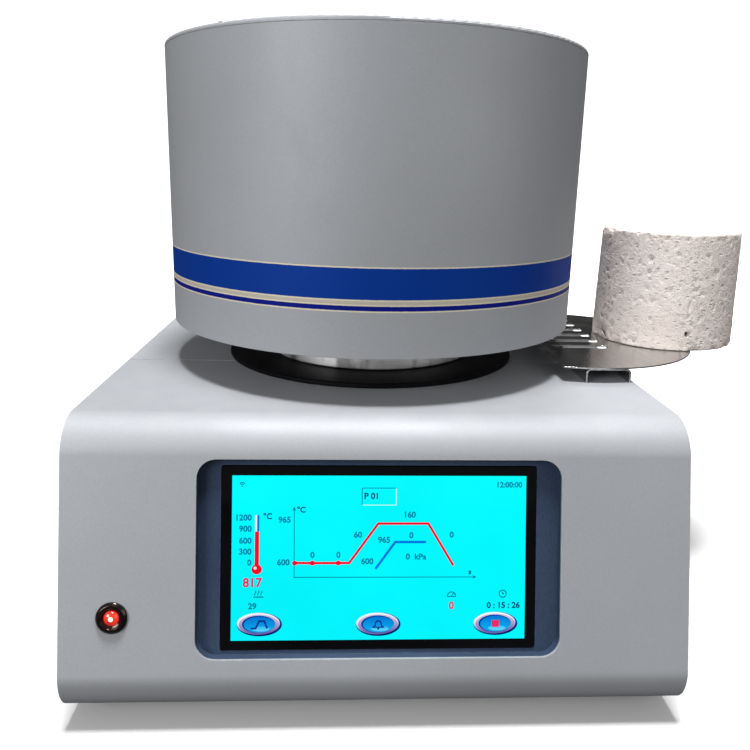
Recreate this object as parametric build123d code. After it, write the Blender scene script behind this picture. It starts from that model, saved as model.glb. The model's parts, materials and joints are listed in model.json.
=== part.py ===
from build123d import *
import os
from math import cos, radians, sin, tan

# Bench-top vacuum furnace with a vertical-lift firing head.
# Millimetres. X right, Y back, Z up. The model is drawn about the head's axis (X = Y = 0)
# with the bench at Z = 0, and is moved at the end so that the origin is the middle of its footprint.

# ------------------------------------------------------------------ driving sizes: base casing
BASE_WIDTH = 326.0
BASE_HEIGHT = 153.0
FOOT_HEIGHT = 8.0
FRONT_REACH = 192.6  # head axis to the sharp lower front corner
FRONT_LEAN = 12.57  # degrees that the front face leans back
BEND_RADIUS = 22.0
REAR_BEND_RADIUS = 4.0
SHEET = 1.5
SIDE_SHEET = 1.2
SEAM_REACH = 38.8  # head axis forward to the seam across the top
SEAM_GAP = 0.6
BOTTOM_RETURN_REACH = 120.0  # head axis forward to the edge of the cover's bottom return
BOTTOM_OVERLAP = 14.0
REAR_FLANGE = 14.0
SIDE_FLANGE = 22.0
FOOT_RADIUS = 11.0
FOOT_INSET = 28.0
FOOT_FRONT_INSET = 20.0  # bottom return's edge back to the front feet
FOOT_REAR_INSET = 30.0

# ------------------------------------------------------------------ driving sizes: screen and lamp
SCREEN_WIDTH = 165.0
SCREEN_HEIGHT = 96.0
SCREEN_UP_FACE = 85.35  # lower front corner up the face to the screen's middle
SCREEN_RECESS = 6.0
GLASS_THICKNESS = 1.6
LCD_THICKNESS = 6.4
OPENING_SIDE_MARGIN = 11.9  # screen edge to the opening's edge, left and right
OPENING_END_MARGIN = 3.35
OPENING_LIFT = 0.97
OPENING_CORNER = 10.0
PAN_SHEET = 1.2
PAN_FLANGE = 11.0
BOARD_SIZE = (150.0, 88.0, 1.6)
BOARD_STANDOFF = 7.0
LAMP_ACROSS = -136.0
LAMP_UP = -29.0
LAMP_BEZEL_RADIUS = 8.0
LAMP_BARREL_RADIUS = 5.9
LAMP_LENS_RADIUS = 3.75

# ------------------------------------------------------------------ driving sizes: head
HEAD_RADIUS = 136.3
HEAD_HEIGHT = 172.7
HEAD_FLOAT = 27.6  # base top up to the casing's lower edge
HEAD_SHEET = 1.5
LID_THICKNESS = 2.5
FLOOR_PLATE = 6.0
FLOOR_INSET = 1.9  # casing's lower edge up to its floor plate
RING_RADIUS = 71.25
RING_BORE = 62.0
RING_FLANGE = 12.75
RING_FLANGE_THICKNESS = 4.0
CHAMBER_BORE = 53.0
MUFFLE_BORE = 57.0
MUFFLE_WALL = 5.0
MUFFLE_HEIGHT = 85.5
COIL_GAP = 5.4
COIL_WIRE = 1.0
COIL_TURNS = 7
INSULATION_WALL = 34.6
CAN_WALL = 1.5
COLLAR_FLANGE = 14.0
TOP_INSULATION = 36.5
CAN_LID = 5.0
POST_RADIUS = 4.0
POST_INSET = 12.0

# ------------------------------------------------------------------ driving sizes: hearth and seal
SEAL_PLATE_MARGIN = 28.75  # ring's outside to the plate's edge
SEAL_PLATE_RISE = 3.0
SEAL_PLATE_STEP = 10.0
SEAL_GAP = 0.3
SEAL_WIDTH = 3.8
SEAL_HEIGHT = 2.8
HEARTH_THICKNESS = 7.0
HEARTH_GAP = 1.5

# ------------------------------------------------------------------ driving sizes: lift column
COLUMN_GAP = 9.7
COLUMN_WIDTH = 125.0
COLUMN_DEPTH = 58.0
COLUMN_SHEET = 1.5
COLUMN_LIP = 15.0
COLUMN_MARGIN = 3.4
ROD_RADIUS = 8.0
ROD_SPACING = 80.0
ROD_SETBACK = 26.0  # column's front up to the rods' plane
BEARING_RADIUS = 14.0
BEARING_LENGTH = 37.0
SCREW_RADIUS = 6.0
NUT_RADIUS = 11.0
NUT_FLANGE_RADIUS = 16.0
NUT_FLANGE = 5.0
CARRIAGE_DEPTH = 38.0
CARRIAGE_HEIGHT = 46.0
CARRIAGE_WALL = 4.0
CARRIAGE_RISE = 9.4  # casing's lower edge up to the carriage
TRAVEL = 138.0
TRAVEL_SPARE = 2.0
BRIDGE_THICKNESS = 8.0
COLUMN_CAP = 2.5
CAP_SPACE = 4.0
DECK_THICKNESS = 4.0
DECK_HALF_WIDTH = 92.0
DECK_POST_RADIUS = 6.0
MOTOR_SIZE = 57.0
MOTOR_HEIGHT = 56.0
ARM_WIDTH = 60.0
ARM_FOOT = 10.0
ARM_WEB = 9.0

# ------------------------------------------------------------------ driving sizes: cooling tray
TRAY_RADIUS = 87.0
TRAY_CENTRE_INSET = 20.8  # base's right side in to the tray's centre
TRAY_CUT_INSET = 45.5
TRAY_CENTRE_BACK = 2.0
TRAY_SHEET = 1.0
BRACKET_INSET = 3.0
BRACKET_WIDTH = 28.5
BRACKET_HEIGHT = 9.0
BRACKET_BEND = 3.0
BRACKET_FRONT = -83.7
BRACKET_BACK = 82.0
SLOT_LENGTH = 40.0
SLOT_WIDTH = 8.0
SLOT_PITCH = 18.0
SLOT_COUNT = 6
SLOT_FIRST = -30.0
SLOT_INSET = 6.5  # tray's straight edge to the slots' ends
PEDESTAL_RADIUS = 48.6
PEDESTAL_TOP_RADIUS = 46.9
PEDESTAL_HEIGHT = 80.0
PEDESTAL_OUT = 53.6  # base's right side out to the pedestal's axis
PEDESTAL_BACK = 7.1

# ------------------------------------------------------------------ driving sizes: rear fittings
FAN_SIZE = 60.0
FAN_DEPTH = 25.0
FAN_RADIUS = 28.5
FAN_INSET = 42.0
FAN_UP = 77.0
FAN_BLADES = 7
INLET_INSET = 53.0
INLET_UP = 35.0
SWITCH_UP = 72.0
OUTLET_UP = 110.0
PORT_ACROSS = 48.0
PORT_UP = 37.0
PORT_RADIUS = 4.0
PORT_LENGTH = 14.0

# ------------------------------------------------------------------ clearances
HOLE_CLEARANCE = 0.25  # screw or barrel in its hole
SLIDE_CLEARANCE = 0.05  # rod in bearing, screw in nut, rotor on its pin
SEAT_CLEARANCE = 0.3  # piece dropped into an opening
BODY_CLEARANCE = 0.1  # a moving face at rest over a fixed one
SMALL_SCREW = 1.5  # shank radius of the casing's screws
HEAD_SCREW = 2.0  # shank radius of the head's screws

# ------------------------------------------------------------------ places worked out from the sizes
HALF = BASE_WIDTH / 2
CASING_LOW = FOOT_HEIGHT
CASING_TOP = CASING_LOW + BASE_HEIGHT
CASING_MIDDLE = CASING_LOW + BASE_HEIGHT / 2
FLOOR_LOW = CASING_LOW + SHEET
FLOOR_TOP = FLOOR_LOW + SHEET
SIDE_IN = HALF - SIDE_SHEET
COLUMN_FRONT = HEAD_RADIUS + COLUMN_GAP
COLUMN_BACK = COLUMN_FRONT + COLUMN_DEPTH
REAR = COLUMN_BACK + COLUMN_MARGIN
REAR_IN = REAR - SHEET
LIFT_Y = COLUMN_FRONT + ROD_SETBACK
SEAL_PLATE_RADIUS = RING_RADIUS + SEAL_PLATE_MARGIN
SEAL_BOSS_RADIUS = SEAL_PLATE_RADIUS - SEAL_PLATE_STEP
SEAL_TOP = CASING_TOP + SEAL_PLATE_RISE
DECK_TOP = CASING_TOP - 9.0
DECK_LOW = DECK_TOP - DECK_THICKNESS
DECK_BACK = REAR_IN - SHEET - 6.5
HEAD_LOW = CASING_TOP + HEAD_FLOAT
HEAD_TOP = HEAD_LOW + HEAD_HEIGHT
LID_LOW = HEAD_TOP - LID_THICKNESS
HEAD_FLOOR_LOW = HEAD_LOW + FLOOR_INSET
HEAD_FLOOR_TOP = HEAD_FLOOR_LOW + FLOOR_PLATE
RING_LOW = SEAL_TOP + SEAL_GAP
RING_TOP = HEAD_FLOOR_TOP + RING_FLANGE_THICKNESS
RING_FLANGE_RADIUS = RING_RADIUS + RING_FLANGE
COLLAR_LOW = RING_TOP + 0.5
MUFFLE_LOW = COLLAR_LOW + COLLAR_FLANGE
MUFFLE_TOP = MUFFLE_LOW + MUFFLE_HEIGHT
MUFFLE_RADIUS = MUFFLE_BORE + MUFFLE_WALL
INSULATION_BORE = MUFFLE_RADIUS + COIL_GAP
INSULATION_RADIUS = INSULATION_BORE + INSULATION_WALL
CAN_BORE = INSULATION_RADIUS + 0.5
CAN_RADIUS = CAN_BORE + CAN_WALL
INSULATION_TOP = MUFFLE_TOP + 0.5 + TOP_INSULATION
CAN_TOP = INSULATION_TOP + 0.5
CAN_FLANGE_RADIUS = CAN_RADIUS + 6.0
CARRIAGE_LOW = HEAD_LOW + CARRIAGE_RISE
CARRIAGE_TOP = CARRIAGE_LOW + CARRIAGE_HEIGHT
BRIDGE_LOW = CARRIAGE_TOP + TRAVEL + TRAVEL_SPARE
BRIDGE_TOP = BRIDGE_LOW + BRIDGE_THICKNESS
CAP_LOW = BRIDGE_TOP + CAP_SPACE
CAP_TOP = CAP_LOW + COLUMN_CAP
BRACKET_RIGHT = HALF - BRACKET_INSET
BRACKET_LEFT = BRACKET_RIGHT - BRACKET_WIDTH
TRAY_LOW = CASING_TOP + BRACKET_HEIGHT
TRAY_TOP = TRAY_LOW + TRAY_SHEET
TRAY_CENTRE = (HALF - TRAY_CENTRE_INSET, TRAY_CENTRE_BACK)
TRAY_CUT = HALF - TRAY_CUT_INSET
PEDESTAL_LOW = TRAY_TOP + BODY_CLEARANCE
PEDESTAL_CENTRE = (HALF + PEDESTAL_OUT, PEDESTAL_BACK)
OPENING_WIDTH = SCREEN_WIDTH + 2 * OPENING_SIDE_MARGIN
OPENING_HEIGHT = SCREEN_HEIGHT + 2 * OPENING_END_MARGIN
PAN_FLOOR_BACK = -(SCREEN_RECESS + 0.5 + PAN_SHEET)
LCD_BACK = -(SCREEN_RECESS + GLASS_THICKNESS + LCD_THICKNESS)
FRAME_BACK = LCD_BACK - PAN_SHEET
BOARD_FRONT = FRAME_BACK - BOARD_STANDOFF
FAN_CENTRE = (-(HALF - FAN_INSET), CASING_LOW + FAN_UP)
INLET_X = HALF - INLET_INSET

LEAN = radians(FRONT_LEAN)
FACE = Plane(
    origin=(0, -FRONT_REACH + SCREEN_UP_FACE * sin(LEAN), CASING_LOW + SCREEN_UP_FACE * cos(LEAN)),
    x_dir=(1, 0, 0),
    z_dir=(0, -cos(LEAN), sin(LEAN)),
).location


# ------------------------------------------------------------------ small builders
def block(x0, x1, y0, y1, z0, z1):
    """A rectangular block between two corners."""
    return Pos((x0 + x1) / 2, (y0 + y1) / 2, (z0 + z1) / 2) * Box(x1 - x0, y1 - y0, z1 - z0)


def disc(radius, z0, z1, x=0.0, y=0.0):
    """An upright round bar from z0 to z1."""
    return Pos(x, y, (z0 + z1) / 2) * Cylinder(radius, z1 - z0)


def tube(radius, bore, z0, z1, x=0.0, y=0.0):
    """An upright tube from z0 to z1."""
    return disc(radius, z0, z1, x, y) - disc(bore, z0 - 1, z1 + 1, x, y)


def seat(point, outward):
    """The place of a frame at point whose Z runs along outward."""
    return Plane(origin=point, z_dir=outward).location


def rear_seat(x, z):
    """The place of a frame on the rear panel's outside, with Z backwards and Y up."""
    return Plane(origin=(x, REAR_IN, z), x_dir=(-1, 0, 0), z_dir=(0, 1, 0)).location


def prism(outline, x0, x1):
    """An outline drawn in Y and Z, carried from x0 to x1."""
    return extrude(Plane.YZ.offset(x0) * outline, x1 - x0)


def rounded_plate(width, height, corner, z0, z1):
    """A plate with rounded corners about the local Z axis, from z0 to z1."""
    return extrude(Pos(0, 0, z0) * RectangleRounded(width, height, corner), z1 - z0)


def group(pieces):
    """Separate solids kept together in one node."""
    return Compound(list(pieces))


def screw(place, shank, length):
    """A socket-head screw: its head stands on the local XY plane and its shank runs down -Z."""
    head = disc(shank * 1.9, 0, shank * 1.5)
    head = fillet(head.edges().sort_by(Axis.Z)[-1], shank * 0.35)
    socket = extrude(Pos(0, 0, shank * 0.6) * RegularPolygon(shank * 0.95, 6), shank)
    return place * (head - socket + disc(shank, -length, 0))


def screw_hole(place, shank, depth):
    """The clearance hole for such a screw, from just above its seat down to depth."""
    return place * disc(shank + HOLE_CLEARANCE, -depth, 1)


def around(count, radius, start=0.0):
    """Points spaced evenly round a circle about the origin."""
    turns = [radians(start + 360 * i / count) for i in range(count)]
    return [(radius * cos(a), radius * sin(a)) for a in turns]


# ------------------------------------------------------------------ base casing
def casing_outline():
    """The casing's side outline in Y and Z, with both front bends and the rear one."""
    high_y = -FRONT_REACH + BASE_HEIGHT * tan(LEAN)
    corners = ((-FRONT_REACH, CASING_LOW), (REAR, CASING_LOW), (REAR, CASING_TOP), (high_y, CASING_TOP))
    outline = make_face(Polyline(*corners, close=True))
    outline = fillet(outline.vertices().sort_by(Axis.X)[:2], BEND_RADIUS)
    rear_top = outline.vertices().group_by(Axis.X)[-1].sort_by(Axis.Y)[-1]
    return fillet(rear_top, REAR_BEND_RADIUS)


def side_screw_places():
    """Where screws enter the side panels, low down on each side."""
    spots = [(side, y) for side in (-1, 1) for y in (-90.0, 45.0, REAR - 45.0)]
    return [seat((side * HALF, y, FLOOR_TOP + 11), (side, 0, 0)) for side, y in spots]


def rear_screw_places():
    """Where screws enter the rear: the top flange, the panel's foot, the fan and the inlet."""
    high = [seat((x, REAR, CASING_TOP - 9), (0, 1, 0)) for x in (-HALF + 25, -90.0, 90.0, HALF - 25)]
    low = [rear_seat(x, FLOOR_TOP + 9) for x in (-HALF + 20, 0.0, HALF - 20)]
    fan_x, fan_z = FAN_CENTRE
    corner = FAN_SIZE / 2 - 5
    fan = [rear_seat(fan_x + i * corner, fan_z + j * corner) for i in (-1, 1) for j in (-1, 1)]
    return high, low, fan


def front_cover():
    """One sheet bent over the top, the leaning face and the underside."""
    outline = casing_outline()
    sheet = prism(outline, -HALF, HALF) - prism(offset(outline, -SHEET), -HALF - 1, HALF + 1)
    behind_seam = block(-HALF - 1, HALF + 1, -SEAM_REACH - SEAM_GAP / 2, REAR + 1, CASING_MIDDLE, CASING_TOP + 1)
    behind_return = block(-HALF - 1, HALF + 1, -BOTTOM_RETURN_REACH, REAR + 1, CASING_LOW - 1, CASING_MIDDLE + 1)
    opening = Pos(0, OPENING_LIFT, 0) * rounded_plate(OPENING_WIDTH, OPENING_HEIGHT, OPENING_CORNER, -6, 6)
    lamp_hole = Pos(LAMP_ACROSS, LAMP_UP, 0) * disc(LAMP_BARREL_RADIUS + HOLE_CLEARANCE, -6, 6)
    return sheet - behind_seam - behind_return - seal_hole() - FACE * opening - FACE * lamp_hole


def seal_hole():
    """The round hole that both top sheets leave for the seal plate's boss."""
    return disc(SEAL_BOSS_RADIUS + SEAT_CLEARANCE, CASING_TOP - 5, CASING_TOP + 5)


def rear_top_cover():
    """The top's rear sheet, bent down over the rear panel."""
    front, low = -SEAM_REACH + SEAM_GAP / 2, CASING_TOP - REAR_FLANGE
    outer = block(-HALF, HALF, front, REAR, low, CASING_TOP)
    outer = fillet(outer.edges().filter_by(Axis.X).sort_by(Axis.Z)[-2:].sort_by(Axis.Y)[-1], REAR_BEND_RADIUS)
    inner = block(-HALF - 1, HALF + 1, front - 1, REAR_IN, low - 1, CASING_TOP - SHEET)
    inner_edge = inner.edges().filter_by(Axis.X).sort_by(Axis.Z)[-2:].sort_by(Axis.Y)[-1]
    inner = fillet(inner_edge, REAR_BEND_RADIUS - SHEET)
    well_x = ROD_SPACING / 2 + BEARING_RADIUS + 3
    well = block(-well_x, well_x, LIFT_Y - 19, LIFT_Y + 19, CASING_TOP - 5, CASING_TOP + 5)
    cover = outer - inner - seal_hole() - well
    for place in rear_screw_places()[0]:
        cover -= screw_hole(place, SMALL_SCREW, 6)
    return cover


def side_panel(side):
    """A flat side let into the covers, with upright cooling slots near the rear."""
    outline = offset(casing_outline(), -SHEET)
    outline &= Pos(0, CASING_MIDDLE) * Rectangle(4 * REAR, BASE_HEIGHT - 2 * SHEET)
    low_x = -HALF if side < 0 else SIDE_IN
    panel = prism(outline, low_x, low_x + SIDE_SHEET)
    for i in range(9):
        y = REAR - 130 + 9 * i
        slot = Rot(0, 90, 0) * extrude(SlotOverall(44, 3.2), 20)
        panel -= Pos(side * HALF - 10, y, CASING_LOW + 62) * slot
    for place in side_screw_places():
        panel -= screw_hole(place, SMALL_SCREW, 6)
    return panel


def bottom_plate():
    """The chassis floor with upturned sides and rear, and rows of cooling slots."""
    front, back = -BOTTOM_RETURN_REACH - BOTTOM_OVERLAP, REAR_IN - SHEET
    plate = block(-SIDE_IN, SIDE_IN, front, back, FLOOR_LOW, FLOOR_TOP)
    for side in (-1, 1):
        wall = sorted((side * SIDE_IN, side * (SIDE_IN - SHEET)))
        plate += block(*wall, front + 24, back - 20, FLOOR_LOW, FLOOR_TOP + SIDE_FLANGE)
    plate += block(-SIDE_IN + 12, SIDE_IN - 12, back - SHEET, back, FLOOR_LOW, FLOOR_TOP + SIDE_FLANGE - 4)
    for row in range(7):
        slot = extrude(SlotOverall(60, 5), 20)
        plate -= Pos(0, -58 + 16 * row, FLOOR_LOW - 5) * (Pos(-HALF + 60, 0) * slot + Pos(HALF - 60, 0) * slot)
    for place in side_screw_places() + rear_screw_places()[1]:
        plate -= screw_hole(place, SMALL_SCREW, 8)
    return plate


def rear_panel():
    """The flat rear with the fan grille and the cut-outs for the electrical and vacuum fittings."""
    panel = block(-SIDE_IN, SIDE_IN, REAR_IN - SHEET, REAR_IN, FLOOR_LOW, CASING_TOP - REAR_BEND_RADIUS)
    fan = rear_seat(*FAN_CENTRE)
    for ring in range(4):
        spots = around(max(1, 6 * ring), 7.6 * ring)
        for x, y in spots:
            panel -= fan * disc(2.9, -5, 5, x, y)
    panel -= rear_seat(INLET_X, CASING_LOW + INLET_UP) * rounded_plate(28.1, 20.6, 2, -5, 5)
    panel -= rear_seat(INLET_X, CASING_LOW + SWITCH_UP) * rounded_plate(22.1, 30.1, 1, -5, 5)
    panel -= rear_seat(INLET_X, CASING_LOW + OUTLET_UP) * rounded_plate(28.1, 20.6, 2, -5, 5)
    panel -= rear_seat(PORT_ACROSS, CASING_LOW + PORT_UP) * disc(6.5 + HOLE_CLEARANCE, -5, 5)
    for places in rear_screw_places():
        for place in places:
            panel -= screw_hole(place, SMALL_SCREW, 6)
    for side in (-1, 1):
        for up in (INLET_UP, OUTLET_UP):
            panel -= screw_hole(rear_seat(INLET_X + side * 20, CASING_LOW + up), SMALL_SCREW, 6)
    return panel


def foot_spots():
    """The four feet's centres."""
    xs = (-(HALF - FOOT_INSET), HALF - FOOT_INSET)
    ys = (-BOTTOM_RETURN_REACH + FOOT_FRONT_INSET, REAR - FOOT_REAR_INSET)
    return [(x, y) for x in xs for y in ys]


def feet():
    """Four tapered rubber feet."""
    foot = Pos(0, 0, FLOOR_LOW / 2) * Cone(FOOT_RADIUS - 1.5, FOOT_RADIUS, FLOOR_LOW)
    foot = fillet(foot.edges().sort_by(Axis.Z)[0], 1.0)
    return group(Pos(x, y, 0) * foot for x, y in foot_spots())


def casing_screws():
    """The small screws of the casing, the fan and the two mains fittings."""
    high, low, fan = rear_screw_places()
    pieces = [screw(place, SMALL_SCREW, 6) for place in side_screw_places() + high + low]
    pieces += [screw(place, SMALL_SCREW, 10) for place in fan]
    for side in (-1, 1):
        place = rear_seat(INLET_X + side * 20, CASING_LOW + INLET_UP)
        pieces.append(place * Pos(0, 0, 3) * screw(Pos(0, 0, 0), SMALL_SCREW, 9))
        place = rear_seat(INLET_X + side * 20, CASING_LOW + OUTLET_UP)
        pieces.append(place * Pos(0, 0, 3) * screw(Pos(0, 0, 0), SMALL_SCREW, 9))
    return group(pieces)


# ------------------------------------------------------------------ screen and lamp, on the leaning face
def screen_pan():
    """The formed pan behind the opening, whose floor surrounds the glass."""
    pan_w, pan_h = OPENING_WIDTH + 2 * PAN_SHEET, OPENING_HEIGHT + 2 * PAN_SHEET
    body = rounded_plate(pan_w + 2 * PAN_FLANGE, pan_h, 6, -SHEET - PAN_SHEET, -SHEET)
    body += rounded_plate(pan_w, pan_h, OPENING_CORNER + PAN_SHEET, PAN_FLOOR_BACK, -SHEET)
    body -= rounded_plate(OPENING_WIDTH, OPENING_HEIGHT, OPENING_CORNER, PAN_FLOOR_BACK + PAN_SHEET, 5)
    body = Pos(0, OPENING_LIFT, 0) * body
    window = rounded_plate(
        SCREEN_WIDTH + 2 * SEAT_CLEARANCE, SCREEN_HEIGHT + 2 * SEAT_CLEARANCE, 1.5, -40, 5
    )
    return FACE * (body - window)


def touch_panel():
    """The flat front glass."""
    return FACE * rounded_plate(SCREEN_WIDTH, SCREEN_HEIGHT, 1.2, -SCREEN_RECESS - GLASS_THICKNESS, -SCREEN_RECESS)


def lcd_module():
    """The display behind the glass."""
    return FACE * rounded_plate(SCREEN_WIDTH - 1, SCREEN_HEIGHT - 1, 1.0, LCD_BACK, -SCREEN_RECESS - GLASS_THICKNESS)


def screen_frame():
    """The tray that holds the display from behind, with four studs for the board."""
    width, height = SCREEN_WIDTH + 20, SCREEN_HEIGHT + 4
    frame = rounded_plate(width, height, 3, FRAME_BACK, PAN_FLOOR_BACK)
    frame -= rounded_plate(
        SCREEN_WIDTH + 2 * SEAT_CLEARANCE, SCREEN_HEIGHT + 2 * SEAT_CLEARANCE, 1.5, LCD_BACK, PAN_FLOOR_BACK + 1
    )
    frame -= rounded_plate(SCREEN_WIDTH - 45, SCREEN_HEIGHT - 34, 4, FRAME_BACK - 1, LCD_BACK + 1)
    for x, y in board_corners():
        frame += disc(3, BOARD_FRONT, FRAME_BACK + 0.5, x, y)
    return FACE * frame


def board_corners():
    """The board's four fixing points, in the face's frame."""
    half_x, half_y = BOARD_SIZE[0] / 2 - 5, BOARD_SIZE[1] / 2 - 5
    return [(i * half_x, j * half_y) for i in (-1, 1) for j in (-1, 1)]


def control_board():
    """The controller board with its chips, capacitors and connectors."""
    width, height, thickness = BOARD_SIZE
    back = BOARD_FRONT - thickness
    board = rounded_plate(width, height, 2, back, BOARD_FRONT)
    board += Pos(10, 8) * rounded_plate(22, 22, 1, back - 2, back + 0.5)
    board += Pos(-25, 14) * rounded_plate(14, 20, 1, back - 2, back + 0.5)
    for i in range(4):
        board += disc(5, back - 12, back + 0.5, -55 + 13 * i, -26)
    for i in range(3):
        board += block(14 + 19 * i, 30 + 19 * i, -38, -29, back - 9, back + 0.5)
    for i in range(2):
        board += block(52, 66, 2 + 19 * i, 17 + 19 * i, back - 11, back + 0.5)
    return FACE * board


def lamp_bezel():
    """The lamp's flanged barrel, through the front cover."""
    flange = disc(LAMP_BEZEL_RADIUS, 0, 2.2)
    flange = fillet(flange.edges().sort_by(Axis.Z)[-1], 1.2)
    body = flange + disc(LAMP_BARREL_RADIUS, -18, 0.5) - disc(LAMP_LENS_RADIUS + 0.1, -19, 4)
    return FACE * Pos(LAMP_ACROSS, LAMP_UP, 0) * body


def lamp_lens():
    """The lamp's domed red lens."""
    lens = disc(LAMP_LENS_RADIUS, -12, 2.8)
    lens = fillet(lens.edges().sort_by(Axis.Z)[-1], 1.8)
    return FACE * Pos(LAMP_ACROSS, LAMP_UP, 0) * lens


def lamp_nut():
    """The hexagon nut that clamps the lamp from inside."""
    nut = extrude(Pos(0, 0, -SHEET - 3.2) * RegularPolygon(LAMP_BEZEL_RADIUS, 6), 3.2)
    nut -= disc(LAMP_BARREL_RADIUS + SLIDE_CLEARANCE, -20, 1)
    return FACE * Pos(LAMP_ACROSS, LAMP_UP, 0) * nut


# ------------------------------------------------------------------ seal plate and hearth
def seal_plate():
    """The black plate that the head seals on: a flange on the covers and a boss on the deck."""
    flange = disc(SEAL_PLATE_RADIUS, CASING_TOP, SEAL_TOP)
    flange = fillet(flange.edges().sort_by(Axis.Z)[-1], 1.2)
    plate = flange + disc(SEAL_BOSS_RADIUS, DECK_TOP, CASING_TOP)
    middle = (RING_RADIUS + RING_BORE) / 2
    groove = tube(middle + SEAL_WIDTH / 2 + 0.1, middle - SEAL_WIDTH / 2 - 0.1, SEAL_TOP - 2.6, SEAL_TOP + 1)
    return plate - groove


def seal_ring():
    """The silicone ring in the plate's groove, standing a little proud."""
    middle = (RING_RADIUS + RING_BORE) / 2
    ring = tube(middle + SEAL_WIDTH / 2, middle - SEAL_WIDTH / 2, SEAL_TOP - 2.6, SEAL_TOP - 2.6 + SEAL_HEIGHT)
    return fillet(ring.edges().sort_by(Axis.Z)[-2:], 0.8)


def hearth_plate():
    """The low refractory disc inside the seal, with a shallow locating step."""
    radius = CHAMBER_BORE - HEARTH_GAP
    plate = disc(radius, SEAL_TOP, SEAL_TOP + HEARTH_THICKNESS)
    return chamfer(plate.edges().sort_by(Axis.Z)[-1], 1.0)


# ------------------------------------------------------------------ lift column on the deck
def deck_post_spots():
    """The deck's four posts."""
    x = DECK_HALF_WIDTH - 12
    return [(side * x, y) for side in (-1, 1) for y in (-80.0, DECK_BACK - 12)]


def deck_plate():
    """The steel deck under the seal plate and the column."""
    plate = block(-DECK_HALF_WIDTH, DECK_HALF_WIDTH, -96, DECK_BACK, DECK_LOW, DECK_TOP)
    plate = fillet(plate.edges().filter_by(Axis.Z), 6)
    return plate - disc(19.3, DECK_LOW - 1, DECK_TOP + 1, 0, LIFT_Y)


def deck_posts():
    """Four pillars from the chassis floor to the deck."""
    return group(disc(DECK_POST_RADIUS, FLOOR_TOP, DECK_LOW, x, y) for x, y in deck_post_spots())


def guide_rods():
    """The two hardened rods that the carriage slides on."""
    rod = disc(ROD_RADIUS, DECK_TOP, BRIDGE_TOP)
    rod = chamfer(rod.edges().sort_by(Axis.Z)[-1], 1.0)
    return group(Pos(side * ROD_SPACING / 2, LIFT_Y, 0) * rod for side in (-1, 1))


def column_bridge():
    """The top plate that ties the rods and steadies the lead screw."""
    half_x = ROD_SPACING / 2 + BEARING_RADIUS + 2
    plate = block(-half_x, half_x, LIFT_Y - 19, LIFT_Y + 19, BRIDGE_LOW, BRIDGE_TOP)
    plate = fillet(plate.edges().filter_by(Axis.Z), 4)
    for side in (-1, 1):
        plate -= disc(ROD_RADIUS + SLIDE_CLEARANCE, BRIDGE_LOW - 1, BRIDGE_TOP + 1, side * ROD_SPACING / 2, LIFT_Y)
    return plate - disc(SCREW_RADIUS + SLIDE_CLEARANCE, BRIDGE_LOW - 1, BRIDGE_TOP + 1, 0, LIFT_Y)


def column_cover():
    """The folded column cover, open towards the head between two lips."""
    half = COLUMN_WIDTH / 2
    outer = block(-half, half, COLUMN_FRONT, COLUMN_BACK, CASING_TOP, CAP_LOW)
    outer = fillet(outer.edges().filter_by(Axis.Z), 3)
    inner = block(
        -half + COLUMN_SHEET,
        half - COLUMN_SHEET,
        COLUMN_FRONT + COLUMN_SHEET,
        COLUMN_BACK - COLUMN_SHEET,
        CASING_TOP - 1,
        CAP_LOW + 1,
    )
    inner = fillet(inner.edges().filter_by(Axis.Z), 1.5)
    gap = half - COLUMN_LIP
    return outer - inner - block(-gap, gap, COLUMN_FRONT - 1, COLUMN_FRONT + 8, CASING_TOP - 1, CAP_LOW + 1)


def column_cap():
    """The column's moulded cap, with two bosses that stand on the bridge."""
    half = COLUMN_WIDTH / 2
    cap = block(-half, half, COLUMN_FRONT, COLUMN_BACK, CAP_LOW, CAP_TOP)
    cap = fillet(cap.edges().filter_by(Axis.Z), 3)
    cap = fillet(cap.edges().group_by(Axis.Z)[-1], 1.2)
    for side in (-1, 1):
        cap += disc(5, BRIDGE_TOP, CAP_LOW + 1, side * 20, LIFT_Y + 8)
    return cap


def lift_motor():
    """The square stepping motor hung under the deck, hollow where its screw shaft turns."""
    half = MOTOR_SIZE / 2
    body = block(-half, half, LIFT_Y - half, LIFT_Y + half, DECK_LOW - MOTOR_HEIGHT, DECK_LOW)
    body = chamfer(body.edges().filter_by(Axis.Z), 4)
    middle = block(
        -half - 1, half + 1, LIFT_Y - half - 1, LIFT_Y + half + 1, DECK_LOW - MOTOR_HEIGHT + 11, DECK_LOW - 9
    )
    core = block(-half + 1, half - 1, LIFT_Y - half + 1, LIFT_Y + half - 1, DECK_LOW - MOTOR_HEIGHT, DECK_LOW)
    core = chamfer(core.edges().filter_by(Axis.Z), 6)
    body -= middle - core
    body += disc(19.0, DECK_LOW, DECK_LOW + 1.6, 0, LIFT_Y)
    return body - disc(SCREW_RADIUS + 0.3, DECK_LOW - 12, DECK_LOW + 5, 0, LIFT_Y)


def lead_screw():
    """The lifting screw: the motor's own shaft, running up to the bridge."""
    rod = disc(SCREW_RADIUS, DECK_LOW - 11, BRIDGE_TOP - 1, 0, LIFT_Y)
    return chamfer(rod.edges().sort_by(Axis.Z)[-1], 1.0)


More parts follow.
